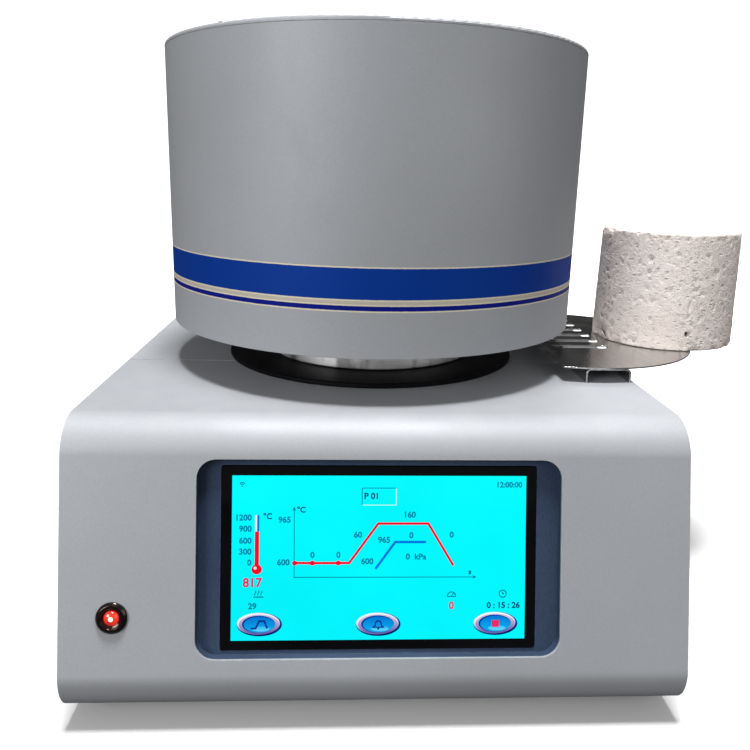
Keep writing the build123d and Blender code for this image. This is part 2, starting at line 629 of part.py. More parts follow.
def carriage_block():
    """The sliding block with bores for two linear bearings and the nut."""
    half_x = ROD_SPACING / 2 + BEARING_RADIUS + CARRIAGE_WALL
    half_y = CARRIAGE_DEPTH / 2
    body = block(-half_x, half_x, LIFT_Y - half_y, LIFT_Y + half_y, CARRIAGE_LOW, CARRIAGE_TOP)
    body = chamfer(body.edges().filter_by(Axis.Z), 3)
    for side in (-1, 1):
        x = side * ROD_SPACING / 2
        body -= disc(BEARING_RADIUS + SLIDE_CLEARANCE, CARRIAGE_LOW - 1, CARRIAGE_TOP + 1, x, LIFT_Y)
    body -= disc(NUT_RADIUS + SLIDE_CLEARANCE, CARRIAGE_LOW - 1, CARRIAGE_TOP + 1, 0, LIFT_Y)
    for place in web_bolt_places():
        body -= screw_hole(place, HEAD_SCREW, ARM_WEB + 11)
    return body


def linear_bearings():
    """The two ball bushings in the carriage."""
    low = CARRIAGE_LOW + (CARRIAGE_HEIGHT - BEARING_LENGTH) / 2
    bush = tube(BEARING_RADIUS, ROD_RADIUS + SLIDE_CLEARANCE, low, low + BEARING_LENGTH)
    return group(Pos(side * ROD_SPACING / 2, LIFT_Y, 0) * bush for side in (-1, 1))


def lead_nut():
    """The flanged bronze nut under the carriage."""
    nut = disc(NUT_FLANGE_RADIUS, CARRIAGE_LOW - NUT_FLANGE, CARRIAGE_LOW, 0, LIFT_Y)
    nut += disc(NUT_RADIUS, CARRIAGE_LOW - 1, CARRIAGE_LOW + 24, 0, LIFT_Y)
    return nut - disc(SCREW_RADIUS + SLIDE_CLEARANCE, CARRIAGE_LOW - 20, CARRIAGE_LOW + 40, 0, LIFT_Y)


def web_bolt_places():
    """Bolts from the arm's web into the carriage."""
    front = LIFT_Y - CARRIAGE_DEPTH / 2 - ARM_WEB
    heights = (CARRIAGE_LOW + 16, CARRIAGE_TOP - 9)
    return [seat((x, front, z), (0, -1, 0)) for x in (-19.0, 19.0) for z in heights]


def foot_bolt_places():
    """Bolts from the arm's foot down into the head's floor plate."""
    return [seat((x, CAN_FLANGE_RADIUS + 9, HEAD_FLOOR_TOP + ARM_FOOT), (0, 0, 1)) for x in (-20.0, 20.0)]


def lift_arm():
    """The bracket from the carriage to the head's floor plate, through the casing's rear window."""
    back = LIFT_Y - CARRIAGE_DEPTH / 2
    half = ARM_WIDTH / 2
    arm = block(-half, half, CAN_FLANGE_RADIUS + 2, back, HEAD_FLOOR_TOP, HEAD_FLOOR_TOP + ARM_FOOT)
    arm += block(-half, half, back - ARM_WEB, back, HEAD_FLOOR_TOP, CARRIAGE_TOP - 2)
    for place in web_bolt_places() + foot_bolt_places():
        arm -= screw_hole(place, HEAD_SCREW, ARM_FOOT + 12)
    return arm


# ------------------------------------------------------------------ head
def head_post_spots():
    """The four lid posts inside the casing."""
    return around(4, HEAD_RADIUS - HEAD_SHEET - POST_INSET, 45)


def ring_bolt_places():
    """Bolts that hold the steel ring down on the floor plate."""
    spots = around(6, RING_FLANGE_RADIUS - 5.5, 30)
    return [seat((x, y, RING_TOP), (0, 0, 1)) for x, y in spots]


def lid_screw_places():
    """Screws through the lid into the posts."""
    return [seat((x, y, HEAD_TOP), (0, 0, 1)) for x, y in head_post_spots()]


def head_casing():
    """The rolled sheet cylinder, with a rear window for the lifting arm."""
    shell = tube(HEAD_RADIUS, HEAD_RADIUS - HEAD_SHEET, HEAD_LOW, LID_LOW)
    half = ARM_WIDTH / 2 + 1
    window = block(-half, half, HEAD_RADIUS / 2, HEAD_RADIUS + 9, HEAD_FLOOR_TOP - 1, HEAD_FLOOR_TOP + ARM_FOOT + 1)
    return shell - window


def head_lid():
    """The flat lid with a rolled edge, a locating skirt and a ring of cooling slots."""
    lid = disc(HEAD_RADIUS, LID_LOW, HEAD_TOP)
    lid = fillet(lid.edges().sort_by(Axis.Z)[-1], 1.6)
    bore = HEAD_RADIUS - HEAD_SHEET - SEAT_CLEARANCE
    lid += tube(bore, bore - HEAD_SHEET, LID_LOW - 8, LID_LOW + 0.5)
    slot = extrude(SlotOverall(26, 3.4), LID_THICKNESS + 4)
    for i in range(28):
        lid -= Rot(0, 0, 360 * i / 28) * Pos(HEAD_RADIUS * 0.6, 0, LID_LOW - 2) * slot
    for place in lid_screw_places():
        lid -= screw_hole(place, HEAD_SCREW, LID_THICKNESS + 1)
    return lid


def head_posts():
    """Four posts from the floor plate to the lid, tapped at the top."""
    post = disc(POST_RADIUS, HEAD_FLOOR_TOP, LID_LOW) - disc(HEAD_SCREW + SLIDE_CLEARANCE, LID_LOW - 9, LID_LOW + 1)
    return group(Pos(x, y, 0) * post for x, y in head_post_spots())


def head_floor():
    """The head's thick floor plate, which carries everything else in the head."""
    plate = disc(HEAD_RADIUS - HEAD_SHEET - 0.1, HEAD_FLOOR_LOW, HEAD_FLOOR_TOP)
    plate -= disc(RING_RADIUS + HOLE_CLEARANCE, HEAD_FLOOR_LOW - 1, HEAD_FLOOR_TOP + 1)
    for place in foot_bolt_places():
        plate -= screw_hole(place, HEAD_SCREW, ARM_FOOT + 4)
    for place in ring_bolt_places():
        plate -= screw_hole(place, HEAD_SCREW, RING_FLANGE_THICKNESS + 4)
    return plate


def chamber_ring():
    """The machined steel ring that closes on the seal, hung from the floor plate by its flange."""
    ring = disc(RING_RADIUS, RING_LOW, RING_TOP) + disc(RING_FLANGE_RADIUS, HEAD_FLOOR_TOP, RING_TOP)
    ring -= disc(RING_BORE, RING_LOW - 1, RING_TOP + 1)
    for place in ring_bolt_places():
        ring -= screw_hole(place, HEAD_SCREW, RING_FLANGE_THICKNESS + 1)
    return ring


def chamber_can():
    """The spun vacuum can round the insulation, with a foot flange."""
    can = tube(CAN_RADIUS, CAN_BORE, HEAD_FLOOR_TOP, CAN_TOP)
    return can + tube(CAN_FLANGE_RADIUS, CAN_BORE, HEAD_FLOOR_TOP, HEAD_FLOOR_TOP + CAN_WALL)


def terminal_spots():
    """Where the two heater terminals pass the can's lid."""
    coil = MUFFLE_RADIUS + COIL_GAP / 2
    return [(-coil, 0.0), (coil, 0.0)]


def can_lid():
    """The can's lid, drilled for the terminals, the sensor and the vacuum elbow."""
    plate = disc(CAN_RADIUS + 4, CAN_TOP, CAN_TOP + CAN_LID)
    for x, y in terminal_spots():
        plate -= disc(6.3, CAN_TOP - 1, CAN_TOP + CAN_LID + 1, x, y)
    plate -= disc(2.8, CAN_TOP - 1, CAN_TOP + CAN_LID + 1)
    return plate - disc(4.2, CAN_TOP - 1, CAN_TOP + CAN_LID + 1, 0, CAN_RADIUS * 0.7)


def insulation_collar():
    """The fibre collar: a sleeve inside the steel ring and a flange over it."""
    collar = disc(INSULATION_RADIUS, COLLAR_LOW, MUFFLE_LOW) + disc(RING_BORE - 0.3, RING_LOW + 2, COLLAR_LOW)
    for x, y in around(6, RING_FLANGE_RADIUS - 5.5, 30):
        collar -= disc(HEAD_SCREW * 1.9 + 0.5, COLLAR_LOW - 1, COLLAR_LOW + 4, x, y)
    return collar - disc(CHAMBER_BORE, RING_LOW, MUFFLE_LOW + 1)


def insulation_ring():
    """The fibre ring round the heater."""
    return tube(INSULATION_RADIUS, INSULATION_BORE, MUFFLE_LOW, MUFFLE_TOP + 0.5)


def insulation_top():
    """The fibre block over the chamber, drilled for the sensor and the terminals."""
    slab = disc(INSULATION_RADIUS, MUFFLE_TOP + 0.5, INSULATION_TOP)
    for x, y in terminal_spots():
        slab -= disc(3.4, MUFFLE_TOP, INSULATION_TOP + 1, x, y)
    return slab - disc(2.8, MUFFLE_TOP, INSULATION_TOP + 1)


def heating_muffle():
    """The quartz tube that lines the firing chamber."""
    return tube(MUFFLE_RADIUS, MUFFLE_BORE, MUFFLE_LOW, MUFFLE_TOP)


def heating_coil():
    """The resistance wire wound round the quartz tube."""
    radius = MUFFLE_RADIUS + COIL_GAP / 2
    low, high = MUFFLE_LOW + 8, MUFFLE_TOP - 8
    path = Pos(0, 0, low) * Helix((high - low) / COIL_TURNS, high - low, radius)
    start = Plane(origin=path @ 0, z_dir=path % 0)
    return sweep(start * Circle(COIL_WIRE), path=path, is_frenet=True)


def thermocouple():
    """The sheathed sensor down the chamber's axis, with its connection head."""
    sensor = disc(2.5, MUFFLE_TOP - 12, CAN_TOP + CAN_LID + 6)
    sensor = fillet(sensor.edges().sort_by(Axis.Z)[0], 1.2)
    head = disc(8, CAN_TOP + CAN_LID, CAN_TOP + CAN_LID + 7)
    head = fillet(head.edges().sort_by(Axis.Z)[-1], 1.5)
    return sensor + head


def heater_terminals():
    """Two feed-through rods in ceramic bushes."""
    pieces = []
    for x, y in terminal_spots():
        rod = disc(3.0, MUFFLE_TOP + 1, CAN_TOP + CAN_LID + 9, x, y)
        rod += disc(6.0, CAN_TOP, CAN_TOP + CAN_LID + 1, x, y) + disc(8.0, CAN_TOP + CAN_LID, CAN_TOP + CAN_LID + 3, x, y)
        pieces.append(rod)
    return group(pieces)


def vacuum_elbow():
    """The brass elbow through the can's lid, for the hose to the base."""
    y = CAN_RADIUS * 0.7
    low = CAN_TOP + CAN_LID
    elbow = disc(4.0, CAN_TOP, low + 1, 0, y) + disc(7.0, low, low + 4, 0, y) + disc(4.5, low, low + 10, 0, y)
    branch = Pos(0, y + 11, low + 6) * Rot(90, 0, 0) * Cylinder(3.5, 22)
    return elbow + branch - disc(2.0, CAN_TOP - 1, low + 6, 0, y)


def head_screws():
    """The head's socket screws: lid, ring, arm foot and arm web."""
    pieces = [screw(place, HEAD_SCREW, 8) for place in lid_screw_places()]
    pieces += [screw(place, HEAD_SCREW, RING_FLANGE_THICKNESS + 3) for place in ring_bolt_places()]
    pieces += [screw(place, HEAD_SCREW, ARM_FOOT + 3) for place in foot_bolt_places()]
    pieces += [screw(place, HEAD_SCREW, ARM_WEB + 10) for place in web_bolt_places()]
    return group(pieces)


# ------------------------------------------------------------------ cooling tray and pedestal
def tray_bracket():
    """The inverted channel that carries the tray over the base's right edge."""
    outer = block(BRACKET_LEFT, BRACKET_RIGHT, BRACKET_FRONT, BRACKET_BACK, CASING_TOP, TRAY_LOW)
    outer = fillet(outer.edges().filter_by(Axis.Y).group_by(Axis.Z)[-1], BRACKET_BEND)
    inner = block(
        BRACKET_LEFT + TRAY_SHEET,
        BRACKET_RIGHT - TRAY_SHEET,
        BRACKET_FRONT - 1,
        BRACKET_BACK + 1,
        CASING_TOP - 1,
        TRAY_LOW - TRAY_SHEET,
    )
    inner = fillet(inner.edges().filter_by(Axis.Y).group_by(Axis.Z)[-1], BRACKET_BEND - TRAY_SHEET)
    return outer - inner


def cooling_tray():
    """The round polished tray, cut straight along the head, with a row of slots."""
    x, y = TRAY_CENTRE
    tray = disc(TRAY_RADIUS, TRAY_LOW, TRAY_TOP, x, y)
    tray -= block(x - 2 * TRAY_RADIUS, TRAY_CUT, y - 2 * TRAY_RADIUS, y + 2 * TRAY_RADIUS, TRAY_LOW - 1, TRAY_TOP + 1)
    slot = extrude(SlotOverall(SLOT_LENGTH, SLOT_WIDTH), TRAY_SHEET + 2)
    for i in range(SLOT_COUNT):
        tray -= Pos(TRAY_CUT + SLOT_INSET + SLOT_LENGTH / 2, SLOT_FIRST + SLOT_PITCH * i, TRAY_LOW - 1) * slot
    return tray


def firing_pedestal():
    """The loose refractory block that carries the work in the chamber."""
    block_ = Pos(0, 0, PEDESTAL_HEIGHT / 2) * Cone(PEDESTAL_RADIUS, PEDESTAL_TOP_RADIUS, PEDESTAL_HEIGHT)
    block_ = fillet(block_.edges().sort_by(Axis.Z)[-1], 1.5)
    probe_hole = Rot(0, 0, -58) * Pos(PEDESTAL_RADIUS, 0, 12) * Rot(0, 90, 0) * Cylinder(1.2, 24)
    return Pos(*PEDESTAL_CENTRE, PEDESTAL_LOW) * (block_ - probe_hole)


# ------------------------------------------------------------------ rear fittings
def fan_frame():
    """The fan's square frame with its spokes, stator and pin."""
    half = FAN_SIZE / 2
    frame = rounded_plate(FAN_SIZE, FAN_SIZE, 4, -FAN_DEPTH, 0) - disc(FAN_RADIUS, -FAN_DEPTH - 1, 1)
    for turn in (45, 135):
        frame += Rot(0, 0, turn) * block(-half, half, -1.6, 1.6, -FAN_DEPTH, -FAN_DEPTH + 3)
    frame += disc(12, -FAN_DEPTH, -FAN_DEPTH + 4) + disc(1.5, -FAN_DEPTH, -8)
    for i in (-1, 1):
        for j in (-1, 1):
            frame -= disc(SMALL_SCREW + HOLE_CLEARANCE, -12, 1, i * (half - 5), j * (half - 5))
    return rear_seat(*FAN_CENTRE) * Pos(0, 0, -SHEET) * frame


def fan_rotor():
    """The fan's hub and blades."""
    low, high = -FAN_DEPTH + 5, -4.0
    hub = disc(12, low, high)
    blade = Pos((10 + FAN_RADIUS - 1.2) / 2, 0, (low + high) / 2) * Rot(38, 0, 0)
    blade *= Box(FAN_RADIUS - 1.2 - 10, 1.4, 15)
    rotor = hub
    for i in range(FAN_BLADES):
        rotor += Rot(0, 0, 360 * i / FAN_BLADES) * blade
    rotor -= disc(1.5 + SLIDE_CLEARANCE, low - 1, -7.5)
    return rear_seat(*FAN_CENTRE) * Pos(0, 0, -SHEET) * rotor


def power_inlet():
    """The mains inlet: a flanged socket with three recessed pins."""
    inlet = rounded_plate(50, 24, 4, 0, 3) + rounded_plate(27.6, 20, 2, -16, 1)
    inlet -= rounded_plate(24, 16.4, 3, -14, 4)
    for x, y in ((-7, -2), (0, 2), (7, -2)):
        inlet += block(x - 1, x + 1, y - 2, y + 2, -15, -5)
    for side in (-1, 1):
        inlet -= disc(SMALL_SCREW + HOLE_CLEARANCE, -1, 4, side * 20)
    return rear_seat(INLET_X, CASING_LOW + INLET_UP) * inlet


def pump_outlet():
    """The switched outlet for the vacuum pump, with three slots."""
    outlet = rounded_plate(50, 24, 4, 0, 3) + rounded_plate(27.6, 20, 2, -22, 1)
    for x, y in ((-7, -2), (0, 2), (7, -2)):
        outlet -= block(x - 1.3, x + 1.3, y - 2.4, y + 2.4, -12, 4)
    for side in (-1, 1):
        outlet -= disc(SMALL_SCREW + HOLE_CLEARANCE, -1, 4, side * 20)
    return rear_seat(INLET_X, CASING_LOW + OUTLET_UP) * outlet


def switch_body():
    """The rocker switch's frame and box, with blind pivot holes."""
    body = rounded_plate(25, 33, 2, 0, 2) + rounded_plate(21.6, 29.6, 1, -18, 1)
    body -= rounded_plate(18, 27, 1, -8, 3)
    body -= Rot(0, 90, 0) * Cylinder(1.5 + SLIDE_CLEARANCE, 20.4)
    return rear_seat(INLET_X, CASING_LOW + SWITCH_UP) * body


def switch_rocker():
    """The rocker, resting tipped to its on side, with its two pivot pins."""
    points = ((-12.5, 3.2), (-9, -4), (9, -4), (12.5, 3.2), (0, 1.0))
    rocker = extrude(Plane.YZ.offset(-8.7) * make_face(Polyline(*points, close=True)), 17.4)
    rocker += Rot(0, 90, 0) * Cylinder(1.5, 20.0)
    return rear_seat(INLET_X, CASING_LOW + SWITCH_UP) * Rot(-8, 0, 0) * rocker


def vacuum_port():
    """The hose spigot with its hexagon and the threaded body through the rear panel."""
    port = extrude(RegularPolygon(9.5, 6), 5) + disc(6.5, -14, 1)
    port += disc(PORT_RADIUS, 4, 5 + PORT_LENGTH)
    port -= disc(2.2, -15, 6 + PORT_LENGTH)
    return rear_seat(PORT_ACROSS, CASING_LOW + PORT_UP) * port


def vacuum_valve():
    """The solenoid valve behind the port: body, coil and release port."""
    z = CASING_LOW + PORT_UP
    y = REAR_IN - SHEET - 34
    body = block(PORT_ACROSS - 11, PORT_ACROSS + 11, y - 11, y + 11, z - 12, z + 10)
    body += block(PORT_ACROSS - 13, PORT_ACROSS + 13, y - 13, y + 13, z + 9, z + 40)
    body += Pos(PORT_ACROSS, y + 14, z) * Rot(90, 0, 0) * Cylinder(4, 12)
    body += disc(3, FLOOR_TOP, z - 11, PORT_ACROSS, y)
    return body


def transformer():
    """The laminated transformer: core, winding and foot."""
    x, y = -48.0, -26.0
    core = block(x - 40, x + 40, y - 14, y + 14, FLOOR_TOP + 2, FLOOR_TOP + 70)
    coil = block(x - 25, x + 25, y - 30, y + 30, FLOOR_TOP + 14, FLOOR_TOP + 58)
    coil = fillet(coil.edges().filter_by(Axis.Z), 8)
    foot = block(x - 48, x + 48, y - 18, y + 18, FLOOR_TOP, FLOOR_TOP + 2)
    return core + coil + foot


def heater_relay():
    """The solid-state relay that switches the heater, moulded on its finned heat sink."""
    x, y, low = 52.0, -30.0, FLOOR_TOP + 26
    sink = block(x - 32, x + 32, y - 32, y + 32, FLOOR_TOP, low)
    for i in range(7):
        sink -= block(x - 28 + 8.4 * i, x - 22.5 + 8.4 * i, y - 33, y + 33, FLOOR_TOP + 2, FLOOR_TOP + 20)
    relay = block(x - 22, x + 22, y - 29, y + 29, low, low + 20)
    relay = fillet(relay.edges().filter_by(Axis.Z), 4)
    for i in (-1, 1):
        for j in (-1, 1):
            relay += disc(3.5, low + 19, low + 24, x + i * 13, y + j * 20)
    return sink + relay


# ------------------------------------------------------------------ every node, by name
NODES = {
    "front_cover": front_cover,
    "rear_top_cover": rear_top_cover,
    "left_side_panel": lambda: side_panel(-1),
    "right_side_panel": lambda: side_panel(1),
    "bottom_plate": bottom_plate,
    "rear_panel": rear_panel,
    "feet": feet,
    "casing_screws": casing_screws,
    "screen_pan": screen_pan,
    "touch_panel": touch_panel,
    "lcd_module": lcd_module,
    "screen_frame": screen_frame,
    "control_board": control_board,
    "lamp_bezel": lamp_bezel,
    "lamp_lens": lamp_lens,
    "lamp_nut": lamp_nut,
    "seal_plate": seal_plate,
    "seal_ring": seal_ring,
    "hearth_plate": hearth_plate,
    "deck_plate": deck_plate,
    "deck_posts": deck_posts,
    "guide_rods": guide_rods,
    "column_bridge": column_bridge,
    "column_cover": column_cover,
    "column_cap": column_cap,
    "lift_motor": lift_motor,
    "lead_screw": lead_screw,
    "carriage_block": carriage_block,
    "linear_bearings": linear_bearings,
    "lead_nut": lead_nut,
    "lift_arm": lift_arm,
    "head_casing": head_casing,
    "head_lid": head_lid,
    "head_posts": head_posts,
    "head_floor": head_floor,
    "head_screws": head_screws,
    "chamber_ring": chamber_ring,
    "chamber_can": chamber_can,
    "can_lid": can_lid,
    "insulation_collar": insulation_collar,
    "insulation_ring": insulation_ring,
    "insulation_top": insulation_top,
    "heating_muffle": heating_muffle,
    "heating_coil": heating_coil,
    "thermocouple": thermocouple,
    "heater_terminals": heater_terminals,
    "vacuum_elbow": vacuum_elbow,
    "tray_bracket": tray_bracket,
    "cooling_tray": cooling_tray,
    "firing_pedestal": firing_pedestal,
    "fan_frame": fan_frame,
    "fan_rotor": fan_rotor,
    "power_inlet": power_inlet,
    "pump_outlet": pump_outlet,
    "switch_body": switch_body,
    "switch_rocker": switch_rocker,
    "vacuum_port": vacuum_port,
    "vacuum_valve": vacuum_valve,
    "transformer": transformer,
    "heater_relay": heater_relay,
}


def footprint_middle(shapes):
    """The middle of the whole object's box in X and Y."""
    boxes = [shape.bounding_box() for shape in shapes]
    x = (min(b.min.X for b in boxes) + max(b.max.X for b in boxes)) / 2
    y = (min(b.min.Y for b in boxes) + max(b.max.Y for b in boxes)) / 2
    return x, y


made = {name: build() for name, build in NODES.items()}
middle_x, middle_y = footprint_middle(made.values())
os.makedirs("parts", exist_ok=True)
for name, shape in made.items():
    export_step(Pos(-middle_x, -middle_y, 0) * shape, f"parts/{name}.step")
print(f"{len(made)} nodes, head axis at X {-middle_x:.3f}, Y {-middle_y:.3f}")
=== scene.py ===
"""Looks of a bench-top vacuum furnace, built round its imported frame.

A leaning screen casing carries a sealed hearth; a round firing head lifts off it on a rear column;
a polished cooling tray with a loose refractory block stands on the casing's right edge.
Every size is in metres. Every place is worked out from the frame's own boxes.
"""

import json
import logging
import math
from dataclasses import dataclass, replace
from enum import Enum
from typing import Callable, Dict, List, Optional, Sequence, Tuple

import bmesh
import bpy
import numpy as np
from mathutils import Matrix, Vector
from mathutils.geometry import delaunay_2d_cdt

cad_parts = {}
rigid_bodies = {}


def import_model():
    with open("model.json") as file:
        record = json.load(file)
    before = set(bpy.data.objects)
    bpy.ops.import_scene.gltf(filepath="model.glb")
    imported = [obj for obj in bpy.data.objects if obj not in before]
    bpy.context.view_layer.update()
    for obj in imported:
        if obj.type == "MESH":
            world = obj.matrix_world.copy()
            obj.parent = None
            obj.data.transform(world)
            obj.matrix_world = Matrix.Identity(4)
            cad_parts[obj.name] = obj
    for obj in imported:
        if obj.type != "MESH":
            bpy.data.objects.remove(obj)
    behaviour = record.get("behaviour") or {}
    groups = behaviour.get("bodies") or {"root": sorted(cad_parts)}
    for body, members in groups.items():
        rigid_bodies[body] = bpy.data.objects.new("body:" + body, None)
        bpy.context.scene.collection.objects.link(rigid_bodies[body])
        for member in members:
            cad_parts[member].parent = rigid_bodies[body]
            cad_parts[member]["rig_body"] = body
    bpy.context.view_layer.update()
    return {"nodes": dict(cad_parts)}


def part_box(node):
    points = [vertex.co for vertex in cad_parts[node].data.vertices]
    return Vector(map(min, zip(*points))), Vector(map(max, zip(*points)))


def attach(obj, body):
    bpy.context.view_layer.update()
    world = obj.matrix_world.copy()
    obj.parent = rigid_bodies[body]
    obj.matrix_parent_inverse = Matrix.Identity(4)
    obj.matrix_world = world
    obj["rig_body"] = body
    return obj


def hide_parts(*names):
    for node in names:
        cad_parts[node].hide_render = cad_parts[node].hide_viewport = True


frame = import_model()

log = logging.getLogger("furnace")
logging.basicConfig(level=logging.INFO, format="%(name)s: %(message)s")

MM = 0.001
SHARP_EDGE = 32.0       # degrees above which an edge counts as an edge
BEVEL_SEGMENTS = 2
DOUBLED = 0.0005 * MM   # points of a surface nearer than this are one point
CAD_DOUBLED = 0.004 * MM
FLAT_WITHIN = math.radians(0.6)
Colour = Tuple[float, float, float]
Socket = bpy.types.NodeSocket
Loop = Sequence[Tuple[float, float]]


# ---------------------------------------------------------------- shader nodes
class NodeSheet:
    """Adds nodes to one tree and wires them as it goes."""

    def __init__(self, tree: bpy.types.NodeTree) -> None:
        """Keep the tree that the nodes go into."""
        self.tree = tree

    def node(self, kind: str, inputs: Optional[Dict[str, object]] = None,
             **settings: object) -> bpy.types.Node:
        """Add a node.

        Args:
            kind: the node's type name.
            inputs: values or sockets, by input name.
            settings: the node's own properties.
        Returns:
            The new node.
        """
        made = self.tree.nodes.new(kind)
        for name, value in settings.items():
            setattr(made, name, value)
        for name, value in (inputs or {}).items():
            self.feed(made.inputs[name], value)
        return made

    def feed(self, entry: Socket, value: object) -> None:
        """Link a socket to an input, or set the input's own value."""
        if isinstance(value, bpy.types.NodeSocket):
            self.tree.links.new(value, entry)
        elif isinstance(value, tuple) and len(value) == 3 and entry.type == "RGBA":
            entry.default_value = (*value, 1.0)
        else:
            entry.default_value = value

    def math(self, operation: str, *values: object) -> Socket:
        """One Math node's result for up to three values or sockets."""
        made = self.tree.nodes.new("ShaderNodeMath")
        made.operation = operation
        for entry, value in zip(made.inputs, values):
            self.feed(entry, value)
        return made.outputs[0]

    def mix(self, factor: object, first: object, second: object, blend: str = "MIX") -> Socket:
        """Mix two colours.

        Args:
            factor: share of the second colour.
            first: colour or socket at factor 0.
            second: colour or socket at factor 1.
            blend: the mix mode.
        Returns:
            The mixed colour's socket.
        """
        made = self.tree.nodes.new("ShaderNodeMix")
        made.data_type = "RGBA"
        made.blend_type = blend
        for place, value in ((0, factor), (6, first), (7, second)):
            self.feed(made.inputs[place], value)
        return made.outputs[2]

    def noise(self, vector: object, scale: object, detail: float = 2.0, roughness: float = 0.5) -> Socket:
        """Noise from 0 to 1 at a vector."""
        inputs = {"Vector": vector, "Scale": scale, "Detail": detail, "Roughness": roughness}
        return self.node("ShaderNodeTexNoise", inputs).outputs[0]

    def span(self, value: object, low: object, high: object, to_low: object = 0.0,
             to_high: object = 1.0) -> Socket:
        """Carry a value from one span to another, held at both ends."""
        inputs = {"Value": value, "From Min": low, "From Max": high, "To Min": to_low, "To Max": to_high}
        return self.node("ShaderNodeMapRange", inputs).outputs[0]

    def place(self) -> Socket:
        """The piece's Object coordinates."""
        return self.node("ShaderNodeTexCoord").outputs["Object"]

    def vector(self, operation: str, *values: object) -> bpy.types.Node:
        """One Vector Math node for one or two vectors."""
        made = self.node("ShaderNodeVectorMath", operation=operation)
        for entry, value in zip(made.inputs, values):
            self.feed(entry, value)
        return made

    def stretched(self, vector: object, scale: object, centre: object = (0.0, 0.0, 0.0)) -> Socket:
        """A vector measured from a centre and scaled by axis."""
        return self.vector("MULTIPLY", self.vector("SUBTRACT", vector, centre).outputs[0], scale).outputs[0]


